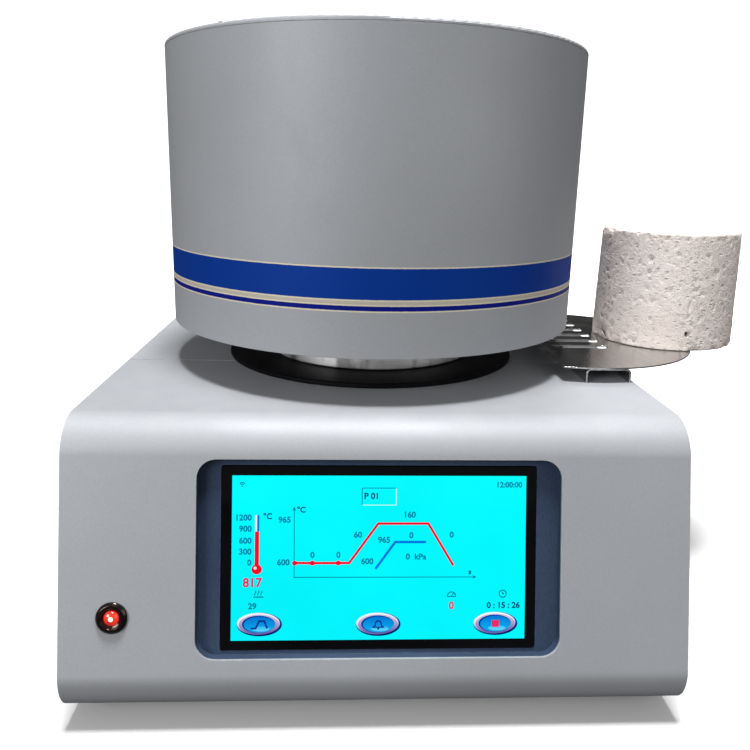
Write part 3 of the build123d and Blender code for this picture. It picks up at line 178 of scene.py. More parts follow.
class Effects:
    """The shared surface effects, each a node group made once and placed wherever it is needed."""

    _made: Dict[str, bpy.types.NodeTree] = {}

    @classmethod
    def _use(cls, sheet: NodeSheet, vector: Socket, value: float, name: str, knob: str, out: str,
             fill: Callable[[NodeSheet, Socket, Socket], Socket]) -> Socket:
        """Put an effect in a material, making its group the first time.

        Args:
            sheet: the material's tree.
            vector: the place on the surface.
            value: the effect's one setting, here.
            name: the group's name.
            knob: the setting's name.
            out: the output's name.
            fill: builds the inside from the vector and the setting, and returns the result.
        Returns:
            The effect's output, a value or a mask.
        """
        if name not in cls._made:
            tree = cls._made[name] = bpy.data.node_groups.new(name, "ShaderNodeTree")
            tree.interface.new_socket("Vector", in_out="INPUT", socket_type="NodeSocketVector")
            tree.interface.new_socket(knob, in_out="INPUT", socket_type="NodeSocketFloat")
            tree.interface.new_socket(out, in_out="OUTPUT", socket_type="NodeSocketFloat")
            inner = NodeSheet(tree)
            given, result = inner.node("NodeGroupInput"), inner.node("NodeGroupOutput")
            inner.feed(result.inputs[out], fill(inner, given.outputs["Vector"], given.outputs[knob]))
        return sheet.node("ShaderNodeGroup", {"Vector": vector, knob: value},
                          node_tree=cls._made[name]).outputs[out]

    @classmethod
    def grain(cls, sheet: NodeSheet, vector: Socket, size: float) -> Socket:
        """Fine grain of a given size in metres, from 0 to 1."""
        def fill(inner: NodeSheet, place: Socket, spacing: Socket) -> Socket:
            """Two noises, one over twice as fine, blended and stretched."""
            scale = inner.math("DIVIDE", 1.0, spacing)
            coarse = inner.noise(place, scale, 2.0, 0.6)
            fine = inner.noise(place, inner.math("MULTIPLY", scale, 2.3), 1.0)
            both = inner.math("ADD", inner.math("MULTIPLY", coarse, 0.6), inner.math("MULTIPLY", fine, 0.4))
            return inner.span(both, 0.32, 0.68)
        return cls._use(sheet, vector, size, "fine_grain", "Size", "Tone", fill)

    @classmethod
    def clouds(cls, sheet: NodeSheet, vector: Socket, size: float) -> Socket:
        """Broad soft variation with a given size in metres, from 0 to 1."""
        def fill(inner: NodeSheet, place: Socket, spacing: Socket) -> Socket:
            """One soft noise, stretched to the whole span."""
            return inner.span(inner.noise(place, inner.math("DIVIDE", 1.0, spacing), 3.0, 0.45), 0.3, 0.7)
        return cls._use(sheet, vector, size, "soft_clouds", "Size", "Tone", fill)

    @classmethod
    def dust(cls, sheet: NodeSheet, vector: Socket, amount: float) -> Socket:
        """Dust that lies on faces that look up, thicker in patches, as a mask."""
        def fill(inner: NodeSheet, place: Socket, share: Socket) -> Socket:
            """Upward share of the normal times clumped noise."""
            normal = inner.node("ShaderNodeNewGeometry").outputs["Normal"]
            up = inner.node("ShaderNodeSeparateXYZ", {"Vector": normal}).outputs["Z"]
            patch = inner.span(inner.noise(place, 55.0, 4.0, 0.6), 0.42, 0.75)
            flecks = inner.span(inner.noise(place, 900.0, 1.0), 0.6, 0.75)
            both = inner.math("ADD", inner.math("MULTIPLY", patch, 0.6), inner.math("MULTIPLY", flecks, 0.5))
            return inner.math("MULTIPLY", inner.math("MULTIPLY", inner.span(up, 0.3, 0.9), both), share)
        return cls._use(sheet, vector, amount, "settled_dust", "Amount", "Mask", fill)

    @classmethod
    def worn_edges(cls, sheet: NodeSheet, vector: Socket, radius: float) -> Socket:
        """Where handling has rubbed the edges, as a mask broken up by noise."""
        def fill(inner: NodeSheet, place: Socket, reach: Socket) -> Socket:
            """How far a rounded normal leaves the true one, times a patchy noise."""
            bent = inner.node("ShaderNodeBevel", {"Radius": reach}, samples=4).outputs[0]
            true = inner.node("ShaderNodeNewGeometry").outputs["Normal"]
            edge = inner.span(inner.vector("DOT_PRODUCT", bent, true).outputs["Value"], 0.995, 0.9)
            return inner.math("MULTIPLY", edge, inner.span(inner.noise(place, 260.0, 3.0), 0.4, 0.65))
        return cls._use(sheet, vector, radius, "worn_edges", "Radius", "Mask", fill)

    @classmethod
    def smudges(cls, sheet: NodeSheet, vector: Socket, size: float) -> Socket:
        """Soft handling marks with sharper borders, as a mask."""
        def fill(inner: NodeSheet, place: Socket, spacing: Socket) -> Socket:
            """A warped noise cut close to its middle."""
            inputs = {"Vector": place, "Scale": inner.math("DIVIDE", 1.0, spacing), "Detail": 4.0,
                      "Distortion": 1.4}
            return inner.span(inner.node("ShaderNodeTexNoise", inputs).outputs[0], 0.5, 0.66)
        return cls._use(sheet, vector, size, "hand_smudges", "Size", "Mask", fill)

    @classmethod
    def pits(cls, sheet: NodeSheet, vector: Socket, size: float) -> Socket:
        """Round pits of a given size in metres, as a mask that is 1 at each pit's middle."""
        def fill(inner: NodeSheet, place: Socket, spacing: Socket) -> Socket:
            """Distance to scattered points, kept near the points and only in some cells."""
            scale = inner.math("DIVIDE", 1.0, spacing)
            cells = inner.node("ShaderNodeTexVoronoi", {"Vector": place, "Scale": scale})
            near = inner.span(cells.outputs["Distance"], 0.34, 0.12)
            pick = inner.node("ShaderNodeSeparateColor", {"Color": cells.outputs["Color"]}).outputs[0]
            return inner.math("MULTIPLY", near, inner.span(pick, 0.45, 0.6))
        return cls._use(sheet, vector, size, "small_pits", "Size", "Mask", fill)


# ---------------------------------------------------------------- finishes
class Marks(Enum):
    """Which way a metal's tool marks or rolling lines run, or the painted reflection bands round a turned
    face.
    """

    NONE = "none"
    ALONG_X = "along_x"
    ALONG_Y = "along_y"
    UPRIGHT = "upright"
    TURNED = "turned"
    # painted reflection: upright light and dark bands round a turned face, not tool marks
    REFLECTION_BANDS = "faceted"
    SPANGLED = "spangled"


MADE_MATERIALS: Dict[str, bpy.types.Material] = {}
STRETCH = {
    Marks.ALONG_X: (25.0, 1800.0, 1800.0),
    Marks.ALONG_Y: (1800.0, 25.0, 1800.0),
    Marks.UPRIGHT: (1800.0, 1800.0, 25.0),
}
DUST_COLOUR: Colour = (0.55, 0.53, 0.5)
DUST_DULLS = 0.4       # roughness that a full layer of dust adds
SPANGLE_SCALE = 160.0  # crystals to the metre
TURNED_SCALE = 1500.0  # rings to the metre
TURNED_DRIFT = 0.0015  # how far a ring wanders in a turn, per radian
REFLECTION_BAND_SCALE = 4.5      # painted reflection bands round a turned face
REFLECTION_BAND_HEIGHT = 4.0     # how fast the painted reflection bands change along the axis
PIT_RELIEF = 0.8


@dataclass(frozen=True)
class Finish:
    """One surface finish, with everything that its material needs.

    Colours are linear; sizes are in metres.
    """

    name: str
    colour: Colour
    shade: Colour
    metallic: float = 0.0
    roughness: float = 0.5
    gloss_spread: float = 0.1
    cloud_size: float = 0.12
    grain_size: float = 0.0012
    grain_tone: float = 0.06
    grain_depth: float = 0.00003
    marks: Marks = Marks.NONE
    marks_and_reflection_tone: float = 0.25
    marks_depth: float = 0.00002
    turned_about: Tuple[float, float, float] = (0.0, 0.0, 0.0)
    wear: float = 0.0
    wear_colour: Colour = (0.6, 0.6, 0.6)
    wear_radius: float = 0.0009
    dust: float = 0.15
    smudge: float = 0.1
    coat: float = 0.0
    coat_roughness: float = 0.1
    specular: float = 0.5
    sheen: float = 0.0

    def material(self) -> bpy.types.Material:
        """Build the material, or return it if it is made."""
        if self.name in MADE_MATERIALS:
            return MADE_MATERIALS[self.name]
        made = MADE_MATERIALS[self.name] = bpy.data.materials.new(self.name)
        made.use_nodes = True
        made.node_tree.nodes.clear()
        sheet = NodeSheet(made.node_tree)
        shader = sheet.node("ShaderNodeBsdfPrincipled")
        out = sheet.node("ShaderNodeOutputMaterial")
        sheet.tree.links.new(shader.outputs[0], out.inputs[0])
        self.dress(sheet, shader, sheet.place())
        made.diffuse_color = (*self.colour, 1.0)
        return made

    def dress(self, sheet: NodeSheet, shader: bpy.types.Node, place: Socket) -> None:
        """Feed the shader: colour, gloss, relief and the fixed values.

        Args:
            sheet: the material's tree.
            shader: its Principled node.
            place: the Object coordinates.
        """
        grain = Effects.grain(sheet, place, self.grain_size)
        lines = self.marks_and_reflection_bands(sheet, place)
        colour = self.base(sheet, place)
        colour = sheet.mix(1.0, colour, self._tone(sheet, grain, self.grain_tone), "MULTIPLY")
        if lines is not None:
            colour = sheet.mix(1.0, colour, self._tone(sheet, lines, self.marks_and_reflection_tone), "MULTIPLY")
        smudge = Effects.smudges(sheet, place, self.cloud_size * 0.5)
        gloss = sheet.span(Effects.clouds(sheet, place, self.cloud_size), 0.0, 1.0,
                           self.roughness - self.gloss_spread / 2, self.roughness + self.gloss_spread / 2)
        gloss = sheet.math("ADD", gloss, sheet.math("MULTIPLY", smudge, self.smudge))
        if self.wear:
            rubbed = sheet.math("MULTIPLY", Effects.worn_edges(sheet, place, self.wear_radius), self.wear)
            colour = sheet.mix(rubbed, colour, self.wear_colour)
        if self.dust:
            settled = Effects.dust(sheet, place, self.dust)
            colour = sheet.mix(settled, colour, DUST_COLOUR)
            gloss = sheet.math("ADD", gloss, sheet.math("MULTIPLY", settled, DUST_DULLS))
        sheet.feed(shader.inputs["Base Color"], colour)
        sheet.feed(shader.inputs["Roughness"], sheet.math("MINIMUM", gloss, 1.0))
        sheet.feed(shader.inputs["Normal"], self.relief(sheet, place, grain, lines))
        shader.inputs["Metallic"].default_value = self.metallic
        shader.inputs["Coat Weight"].default_value = self.coat
        shader.inputs["Coat Roughness"].default_value = self.coat_roughness
        shader.inputs["Specular IOR Level"].default_value = self.specular
        shader.inputs["Sheen Weight"].default_value = self.sheen

    def base(self, sheet: NodeSheet, place: Socket) -> Socket:
        """The main colour, drifting towards the shade in broad clouds."""
        return sheet.mix(Effects.clouds(sheet, place, self.cloud_size), self.colour, self.shade)

    def relief(self, sheet: NodeSheet, place: Socket, grain: Socket, lines: Optional[Socket]) -> Socket:
        """The normal that grain and the finish's marks pattern give, painted reflection bands included."""
        bump = sheet.node("ShaderNodeBump", {"Height": grain, "Distance": self.grain_depth, "Strength": 1.0})
        if lines is None:
            return bump.outputs[0]
        second = sheet.node("ShaderNodeBump", {"Height": lines, "Distance": self.marks_depth,
                                               "Strength": 1.0, "Normal": bump.outputs[0]})
        return second.outputs[0]

    def marks_and_reflection_bands(self, sheet: NodeSheet, place: Socket) -> Optional[Socket]:
        """Brushed, turned or spangled pattern, or painted reflection bands round a turned face, from 0 to 1,
        or None for a plain finish.
        """
        if self.marks is Marks.NONE:
            return None
        if self.marks is Marks.SPANGLED:
            cells = sheet.node("ShaderNodeTexVoronoi", {"Vector": place, "Scale": SPANGLE_SCALE})
            return sheet.node("ShaderNodeSeparateColor", {"Color": cells.outputs["Color"]}).outputs[0]
        if self.marks in (Marks.TURNED, Marks.REFLECTION_BANDS):
            from_axis = sheet.stretched(place, (1.0, 1.0, 1.0), self.turned_about)
            x, y, z = sheet.node("ShaderNodeSeparateXYZ", {"Vector": from_axis}).outputs
            squares = sheet.math("ADD", sheet.math("MULTIPLY", x, x), sheet.math("MULTIPLY", y, y))
            reach = sheet.math("SQRT", squares)
            # painted reflection bands: they change round the axis and only slowly along it
            if self.marks is Marks.REFLECTION_BANDS:
                around = sheet.node("ShaderNodeCombineXYZ", {"X": sheet.math("DIVIDE", x, reach),
                                                             "Y": sheet.math("DIVIDE", y, reach),
                                                             "Z": sheet.math("MULTIPLY", z, REFLECTION_BAND_HEIGHT)})
                return sheet.span(sheet.noise(around.outputs[0], REFLECTION_BAND_SCALE, 2.0, 0.5), 0.4, 0.6)
            angle = sheet.math("MULTIPLY", sheet.math("ARCTAN2", y, x), TURNED_DRIFT)
            rings = sheet.node("ShaderNodeCombineXYZ", {"X": reach, "Y": angle, "Z": z}).outputs[0]
            return sheet.span(sheet.noise(rings, TURNED_SCALE, 3.0, 0.7), 0.3, 0.7)
        return sheet.span(sheet.noise(sheet.stretched(place, STRETCH[self.marks]), 1.0, 3.0, 0.65), 0.3, 0.7)

    @staticmethod
    def _tone(sheet: NodeSheet, mask: Socket, strength: float) -> Socket:
        """A grey that swings by strength about 1 as the mask goes from 0 to 1."""
        value = sheet.span(mask, 0.0, 1.0, 1.0 - strength, 1.0 + strength)
        return sheet.node("ShaderNodeCombineColor", {"Red": value, "Green": value, "Blue": value}).outputs[0]


@dataclass(frozen=True)
class Band:
    """A painted stripe round the head, between two heights."""

    low: float
    high: float
    colour: Colour


@dataclass(frozen=True)
class BandedPaint(Finish):
    """Paint with level stripes, each with a thin uneven edge."""

    bands: Tuple[Band, ...] = ()
    ragged: float = 0.0003
    soft: float = 0.00008

    def base(self, sheet: NodeSheet, place: Socket) -> Socket:
        """The paint's colour with each stripe laid over it between its heights."""
        colour = super().base(sheet, place)
        height = sheet.node("ShaderNodeSeparateXYZ", {"Vector": place}).outputs["Z"]
        wander = sheet.math("SUBTRACT", sheet.noise(place, 700.0, 2.0), 0.5)
        height = sheet.math("ADD", height, sheet.math("MULTIPLY", wander, self.ragged))
        for band in self.bands:
            above = sheet.span(height, band.low - self.soft, band.low + self.soft)
            below = sheet.span(height, band.high + self.soft, band.high - self.soft)
            colour = sheet.mix(sheet.math("MULTIPLY", above, below), colour, band.colour)
        return colour


@dataclass(frozen=True)
class Refractory(Finish):
    """Cast refractory: chalky, with pits, specks, faint scorch and painted shade inside the probe hole."""

    pit_size: float = 0.0045
    pit_colour: Colour = (0.5, 0.44, 0.38)
    pit_depth: float = 0.0008
    pit_stretch: Tuple[float, float, float] = (1.0, 1.0, 1.7)
    fine_share: float = 0.38  # a small pit's size as a share of a large one's
    stain_colour: Colour = (0.7, 0.61, 0.54)
    bore_through: Tuple[Tuple[float, float, float], ...] = ()
    bore_shade_colour: Colour = (0.01, 0.008, 0.006)
    bore_shade_rim: Tuple[float, float] = (0.0016, 0.0011)

    def base(self, sheet: NodeSheet, place: Socket) -> Socket:
        """Chalky white with darker pits, a few warm stains and painted shade inside the probe hole."""
        colour = super().base(sheet, place)
        stain = sheet.span(sheet.noise(place, 42.0, 5.0, 0.6), 0.56, 0.78, 0.0, 0.4)
        colour = sheet.mix(stain, colour, self.stain_colour)
        flat = sheet.stretched(place, self.pit_stretch)
        for size, strength in ((self.pit_size, 0.45), (self.pit_size * self.fine_share, 0.35)):
            pits = sheet.math("MULTIPLY", Effects.pits(sheet, flat, size), strength)
            colour = sheet.mix(pits, colour, self.pit_colour)
        return sheet.mix(self.bore(sheet, place), colour, self.bore_shade_colour) if self.bore_through else colour

    def bore(self, sheet: NodeSheet, place: Socket) -> Socket:
        """Painted shade inside the probe hole: near the line that runs level from its mouth, as a mask."""
        mouth, axis = self.bore_through
        away = sheet.stretched(place, (1.0, 1.0, 1.0), mouth)
        across = sheet.vector("CROSS_PRODUCT", away, axis).outputs[0]
        near = sheet.span(sheet.vector("LENGTH", across).outputs["Value"], *self.bore_shade_rim)
        ahead = sheet.vector("DOT_PRODUCT", away, axis).outputs["Value"]
        return sheet.math("MULTIPLY", near, sheet.math("GREATER_THAN", ahead, 0.0))

    def relief(self, sheet: NodeSheet, place: Socket, grain: Socket, lines: Optional[Socket]) -> Socket:
        """Grain with the same pits sunk into it."""
        flat = sheet.stretched(place, self.pit_stretch)
        sizes = (self.pit_size, self.pit_depth), (self.pit_size * self.fine_share, self.pit_depth / 2)
        under: Dict[str, Socket] = {}
        for size, depth in sizes:
            sunk = sheet.math("MULTIPLY", Effects.pits(sheet, flat, size), -1.0)
            inputs = {"Height": sunk, "Distance": depth, "Strength": PIT_RELIEF, **under}
            under = {"Normal": sheet.node("ShaderNodeBump", inputs).outputs[0]}
        inputs = {"Height": grain, "Distance": self.grain_depth, **under}
        return sheet.node("ShaderNodeBump", inputs).outputs[0]


@dataclass(frozen=True)
class Glow(Finish):
    """A lit surface whose colour runs from low to high up a height, under a clear glossy front."""

    high_colour: Colour = (1.0, 1.0, 1.0)
    low: float = 0.0
    high: float = 1.0
    strength: float = 1.0
    unevenness: float = 0.06
    cell_size: float = 0.0009

    def dress(self, sheet: NodeSheet, shader: bpy.types.Node, place: Socket) -> None:
        """Emission with a vertical run of colour and a faint unevenness, and a glossy coat."""
        height = sheet.node("ShaderNodeSeparateXYZ", {"Vector": place}).outputs["Z"]
        run = sheet.span(height, self.low, self.high)
        colour = sheet.mix(run, self.colour, self.high_colour)
        cells = Effects.grain(sheet, place, self.cell_size)
        cloud = Effects.clouds(sheet, place, self.cloud_size)
        tone = sheet.math("ADD", sheet.math("MULTIPLY", cells, 0.35), sheet.math("MULTIPLY", cloud, 0.65))
        lit = sheet.mix(1.0, colour, self._tone(sheet, tone, self.unevenness), "MULTIPLY")
        sheet.feed(shader.inputs["Emission Color"], lit)
        shader.inputs["Emission Strength"].default_value = self.strength
        sheet.feed(shader.inputs["Base Color"], sheet.mix(0.99, lit, (0.001, 0.001, 0.001)))
        sheet.feed(shader.inputs["Roughness"], sheet.span(cloud, 0.0, 1.0, 0.05, 0.09))
        shader.inputs["Specular IOR Level"].default_value = self.specular
        shader.inputs["Coat Weight"].default_value = self.coat
        shader.inputs["Coat Roughness"].default_value = self.coat_roughness


@dataclass(frozen=True)
class Backdrop(Finish):
    """A pale floor that reads as white paper to the camera and throws little light back."""

    lift: float = 1.0
    near: float = 0.3
    far: float = 0.9
    bounce: Colour = (0.05, 0.05, 0.05)

    def dress(self, sheet: NodeSheet, shader: bpy.types.Node, place: Socket) -> None:
        """The usual dressing, with white added far out and only for camera rays."""
        super().dress(sheet, shader, place)
        seen = sheet.node("ShaderNodeLightPath").outputs["Is Camera Ray"]
        reach = sheet.node("ShaderNodeVectorMath", operation="LENGTH")
        sheet.feed(reach.inputs[0], place)
        lift = sheet.span(reach.outputs["Value"], self.near, self.far, 0.0, self.lift)
        sheet.feed(shader.inputs["Emission Strength"], sheet.math("MULTIPLY", seen, lift))
        shader.inputs["Emission Color"].default_value = (1.0, 1.0, 1.0, 1.0)
        sheet.feed(shader.inputs["Base Color"], sheet.mix(seen, self.bounce, self.colour))


@dataclass(frozen=True)
class ClearQuartz(Finish):
    """Quartz tube: clear, faintly drawn lines, a little milky from heat."""

    clearness: float = 0.85
    bending: float = 1.46

    def dress(self, sheet: NodeSheet, shader: bpy.types.Node, place: Socket) -> None:
        """The usual dressing with transmission set on the shader."""
        super().dress(sheet, shader, place)
        shader.inputs["Transmission Weight"].default_value = self.clearness
        shader.inputs["IOR"].default_value = self.bending


# ---------------------------------------------------------------- shapes as arrays
def filleted(corners: Loop, radii: Sequence[float], steps: int = 8, closed: bool = True) -> np.ndarray:
    """Round an outline's corners with arcs.

    Each arc is tangent to both sides: its ends lie radius * tan(turn / 2) from the corner, and its
    points are centre + radius * (cos t, sin t) with t running evenly between the two ends.

    Args:
        corners: the outline's sharp corners.
        radii: one radius for each corner, 0 for a sharp one.
        steps: pieces in each arc.
        closed: whether the last corner runs on to the first.
    Returns:
        The points, one row each.
    """
    points = np.asarray(corners, float)
    count = len(points)
    made: List[np.ndarray] = []
    for i, radius in enumerate(radii):
        if radius <= 0 or (not closed and i in (0, count - 1)):
            made.append(points[i][None])
            continue
        before, here, after = points[i - 1], points[i], points[(i + 1) % count]
        a = (before - here) / np.linalg.norm(before - here)
        b = (after - here) / np.linalg.norm(after - here)
        half = math.acos(float(np.clip(a @ b, -1.0, 1.0))) / 2
        middle = (a + b) / np.linalg.norm(a + b)
        centre = here + middle * radius / math.sin(half)
        start, end = (here + side * radius / math.tan(half) - centre for side in (a, b))
        turn = math.atan2(start[0] * end[1] - start[1] * end[0], float(start @ end))
        t = math.atan2(start[1], start[0]) + turn * np.linspace(0.0, 1.0, steps + 1)
        made.append(centre + radius * np.column_stack((np.cos(t), np.sin(t))))
    return np.concatenate(made)


def circle(radius: float, steps: int, start: float = 0.0, sweep: float = 2 * math.pi) -> np.ndarray:
    """Points radius * (cos t, sin t) for even t over the sweep; a full turn leaves its last point out."""
    full = abs(abs(sweep) - 2 * math.pi) < 1e-9
    t = start + sweep * np.arange(steps + (0 if full else 1)) / steps
    return radius * np.column_stack((np.cos(t), np.sin(t)))


def run_lengths(line: np.ndarray) -> np.ndarray:
    """How far along a line each of its points lies: the summed lengths of the steps before it."""
    return np.concatenate(([0.0], np.cumsum(np.linalg.norm(np.diff(line, axis=0), axis=1))))


def faced_out(points: np.ndarray, triangles: np.ndarray, inner: np.ndarray) -> np.ndarray:
    """Wind each triangle so that its normal (b - a) x (c - a) points away from an inner place."""
    a, b, c = (points[triangles[:, k]] for k in range(3))
    facing = np.einsum("ij,ij->i", np.cross(b - a, c - a), (a + b + c) / 3 - inner)
    triangles = triangles.copy()
    triangles[facing < 0] = triangles[facing < 0][:, ::-1]
    return triangles


def grid_faces(rows: int, columns: int, wrap_rows: bool, wrap_columns: bool) -> np.ndarray:
    """Quads of a grid of points numbered row by row, wrapped round either way if asked."""
    i = np.arange(rows if wrap_rows else rows - 1)[:, None]
    j = np.arange(columns if wrap_columns else columns - 1)[None, :]
    a, b = i * columns + j, i * columns + (j + 1) % columns
    c, d = ((i + 1) % rows) * columns + (j + 1) % columns, ((i + 1) % rows) * columns + j
    return np.stack((a, b, c, d), axis=-1).reshape(-1, 4)


def ripple(points: np.ndarray, size: float, seed: int) -> np.ndarray:
    """Smooth lattice noise from -1 to 1 at points.

    Each lattice corner has a fixed value from a hashed sine; between corners the values blend by
    3t^2 - 2t^3 along each axis.

    Args:
        points: places, one row each.
        size: the lattice spacing in metres.
        seed: picks the lattice values.
    Returns:
        One value for each point.
    """
    scaled = points / size
    cell = np.floor(scaled)
    part = scaled - cell
    blend = part * part * (3 - 2 * part)
    total = np.zeros(len(points))
    for corner in np.ndindex(2, 2, 2):
        at = cell + corner
        value = np.sin(at @ np.array([127.1, 311.7, 74.7]) + seed * 19.19) * 43758.5453
        weight = np.prod(np.where(np.array(corner) == 1, blend, 1 - blend), axis=1)
        total += weight * (value - np.floor(value))
    return total * 2 - 1


@dataclass
class Mesh:
    """Points and faces of one surface, ready to become a piece."""

    points: np.ndarray
    faces: List[Tuple[int, ...]]

    @staticmethod
    def joined(parts: Sequence["Mesh"]) -> "Mesh":
        """Several surfaces as one."""
        offset, points, faces = 0, [], []
        for part in parts:
            points.append(part.points)
            faces += [tuple(int(v) + offset for v in face) for face in part.faces]
            offset += len(part.points)
        return Mesh(np.concatenate(points), faces)


def lathe(profile: np.ndarray, centre: Sequence[float], steps: int = 128, closed: bool = True) -> Mesh:
    """Turn a profile of (reach, height) about an upright axis: (r cos t, r sin t, h) for every t.

    Args:
        profile: rows of reach and height, in order.
        centre: the axis's x and y.
        steps: pieces round the axis.
        closed: whether the profile's last point runs on to its first.
    Returns:
        The turned surface.
    """
    t = 2 * math.pi * np.arange(steps) / steps
    reach, height = profile[:, 0][None, :], profile[:, 1][None, :]
    x = centre[0] + reach * np.cos(t)[:, None]
    y = centre[1] + reach * np.sin(t)[:, None]
    points = np.stack((x, y, np.broadcast_to(height, x.shape)), axis=-1).reshape(-1, 3)
    return Mesh(points, grid_faces(steps, len(profile), True, closed).tolist())


def cut_blank(loops: Sequence[np.ndarray], folds: Sequence[Tuple[float, float, float, float]],
              inside: Callable[[np.ndarray], np.ndarray]) -> Tuple[np.ndarray, np.ndarray]:
    """Triangulate a flat sheet blank with holes and fold lines.

    Args:
        loops: the outlines of the sheet and its holes.
        folds: straight lines that the triangles must follow, as (u0, v0, u1, v1).
        inside: tells for each point of an array whether the sheet has metal there.
    Returns:
        The blank's points and its triangles.
    """
    points: List[Vector] = []
    edges: List[Tuple[int, int]] = []
    for loop in loops:
        first, count = len(points), len(loop)
        points += [Vector((float(u), float(v))) for u, v in loop]
        edges += [(first + i, first + (i + 1) % count) for i in range(count)]
    for u0, v0, u1, v1 in folds:
        edges.append((len(points), len(points) + 1))
        points += [Vector((u0, v0)), Vector((u1, v1))]
    verts, _, faces, *_ = delaunay_2d_cdt(points, edges, [], 0, 1e-7)
    flat = np.array([tuple(v) for v in verts])
    triangles = np.array(faces)
    return flat, triangles[inside(flat[triangles].mean(axis=1))]


# ---------------------------------------------------------------- pieces
class Maker:
    """Turns surfaces into finished pieces: modifiers, body, replaced nodes and the log."""

    @staticmethod
    def piece(name: str, mesh: Mesh, finish: Finish, body: str, slot: str, replaces: Sequence[str] = (),
              bevel: float = 0.0, thickness: float = 0.0, sharp: float = SHARP_EDGE) -> bpy.types.Object:
        """Make one finished piece from a surface.

        Args:
            name: the piece's name.
            mesh: its surface, in place.
            finish: what it is dressed in.
            body: the body that it rides on.
            slot: the record's material slot; not used.
            replaces: the CAD nodes that it stands for.
            bevel: width of its softened edges.
            thickness: wall added inwards.
            sharp: degrees above which an edge counts as an edge.
        Returns:
            The piece's object.
        """
        data = bpy.data.meshes.new(name)
        data.from_pydata(mesh.points.tolist(), [], mesh.faces)
        Maker._heal(data)
        made = bpy.data.objects.new(name, data)
        return Maker._finish(made, finish, body, slot, replaces, bevel, thickness, sharp)

    @staticmethod
    def recut(node: str, finish: Finish, slot: str, bevel: float = 0.3 * MM, name: str = "",
              sharp: float = SHARP_EDGE) -> bpy.types.Object:
        """Make a piece from a copy of a CAD node: merged, cleaned and with softened edges.

        Args:
            node: the CAD node.
            finish: what the piece is dressed in.
            slot: the record's material slot; not used.
            bevel: width of the softened edges.
            name: the piece's name, or the node's with a suffix.
            sharp: degrees above which an edge counts as an edge.
        Returns:
            The piece's object.
        """
        source = frame["nodes"][node]
        data = source.data.copy()
        data.materials.clear()
        shape = bmesh.new()
        shape.from_mesh(data)
        bmesh.ops.remove_doubles(shape, verts=shape.verts, dist=CAD_DOUBLED)
        bmesh.ops.dissolve_degenerate(shape, edges=shape.edges, dist=CAD_DOUBLED)
        bmesh.ops.dissolve_limit(shape, angle_limit=FLAT_WITHIN, verts=shape.verts, edges=shape.edges)
        shape.to_mesh(data)
        shape.free()
        made = bpy.data.objects.new(name or node + "_body", data)
        return Maker._finish(made, finish, source["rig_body"], slot, (node,), bevel, 0.0, sharp)

    @staticmethod
    def recut_all(*rows: Tuple[str, Finish, str, float]) -> None:
        """Recut several nodes, by rows of their names, finish, slot and bevel in millimetres."""
        for nodes, finish, slot, bevel in rows:
            for node in nodes.split():
                Maker.recut(node, finish, slot, bevel * MM)

    @staticmethod
    def _heal(data: bpy.types.Mesh) -> None:
        """Merge doubled points and turn every face outwards."""
        shape = bmesh.new()
        shape.from_mesh(data)
        bmesh.ops.remove_doubles(shape, verts=shape.verts, dist=DOUBLED)
        bmesh.ops.recalc_face_normals(shape, faces=shape.faces)
        shape.to_mesh(data)
        shape.free()

    @staticmethod
    def _finish(made: bpy.types.Object, finish: Finish, body: str, slot: str, replaces: Sequence[str],
                bevel: float, thickness: float, sharp: float) -> bpy.types.Object:
        """Link, shade, bevel, dress and attach a piece, hide the nodes that it replaces and log it."""
        bpy.context.scene.collection.objects.link(made)
        data = made.data
        data.polygons.foreach_set("use_smooth", np.ones(len(data.polygons), bool))
        data.set_sharp_from_angle(angle=math.radians(sharp))
        if thickness:
            wall = made.modifiers.new("wall", "SOLIDIFY")
            wall.thickness = thickness
            wall.offset = -1.0
        if bevel:
            edge = made.modifiers.new("edges", "BEVEL")
            edge.width = bevel
            edge.segments = BEVEL_SEGMENTS
            edge.limit_method = "ANGLE"
            edge.angle_limit = math.radians(sharp + 3)
            edge.miter_outer = "MITER_ARC"
            weigh = made.modifiers.new("even_shading", "WEIGHTED_NORMAL")
            weigh.keep_sharp = True
        data.materials.append(finish.material())
        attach(made, body)
        if replaces:
            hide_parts(*replaces)
        log.info("%s: %d faces on %s, %s", made.name, len(data.polygons), body, finish.name)
        return made


def spot(node: str) -> Tuple[np.ndarray, np.ndarray, np.ndarray]:
    """A node's lowest corner, middle and highest corner."""
    low, high = (np.array(corner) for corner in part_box(node))
    return low, (low + high) / 2, high


# ---------------------------------------------------------------- where things are
@dataclass(frozen=True)
class Face:
    """The leaning screen face: an origin, and axes across it, up it and out of it."""

    origin: np.ndarray
    lean: float

    @property
    def up(self) -> np.ndarray:
        """The way up the face."""
        return np.array([0.0, math.sin(self.lean), math.cos(self.lean)])

    @property
    def out(self) -> np.ndarray:
        """The way out of the face."""
        return np.array([0.0, -math.cos(self.lean), math.sin(self.lean)])

    def lift(self, flat: np.ndarray, height: float = 0.0) -> np.ndarray:
        """Flat (across, up) points as places: origin + across * X + up * U + height * W."""
        flat = np.asarray(flat, float)
        raised = flat[:, 2:3] if flat.shape[1] > 2 else np.zeros((len(flat), 1))
        across = np.array([1.0, 0.0, 0.0])
        return self.origin + flat[:, :1] * across + flat[:, 1:2] * self.up + (raised + height) * self.out


LEAN = math.radians(12.57)
GLASS_MIDDLE_DEPTH = 6.8 * MM  # face down to the middle of the glass
GLASS_FRONT_DEPTH = 6.0 * MM


def screen_face() -> Face:
    """The face whose origin lies over the middle of the glass."""
    middle = spot("touch_panel")[1]
    out = np.array([0.0, -math.cos(LEAN), math.sin(LEAN)])
    return Face(middle + GLASS_MIDDLE_DEPTH * out, LEAN)


FACE = screen_face()
AXIS = spot("chamber_ring")[1]
TOP = spot("rear_top_cover")[2][2]
SILVER_GREY = (0.375, 0.388, 0.412)
SILVER_SHADE = (0.34, 0.352, 0.372)


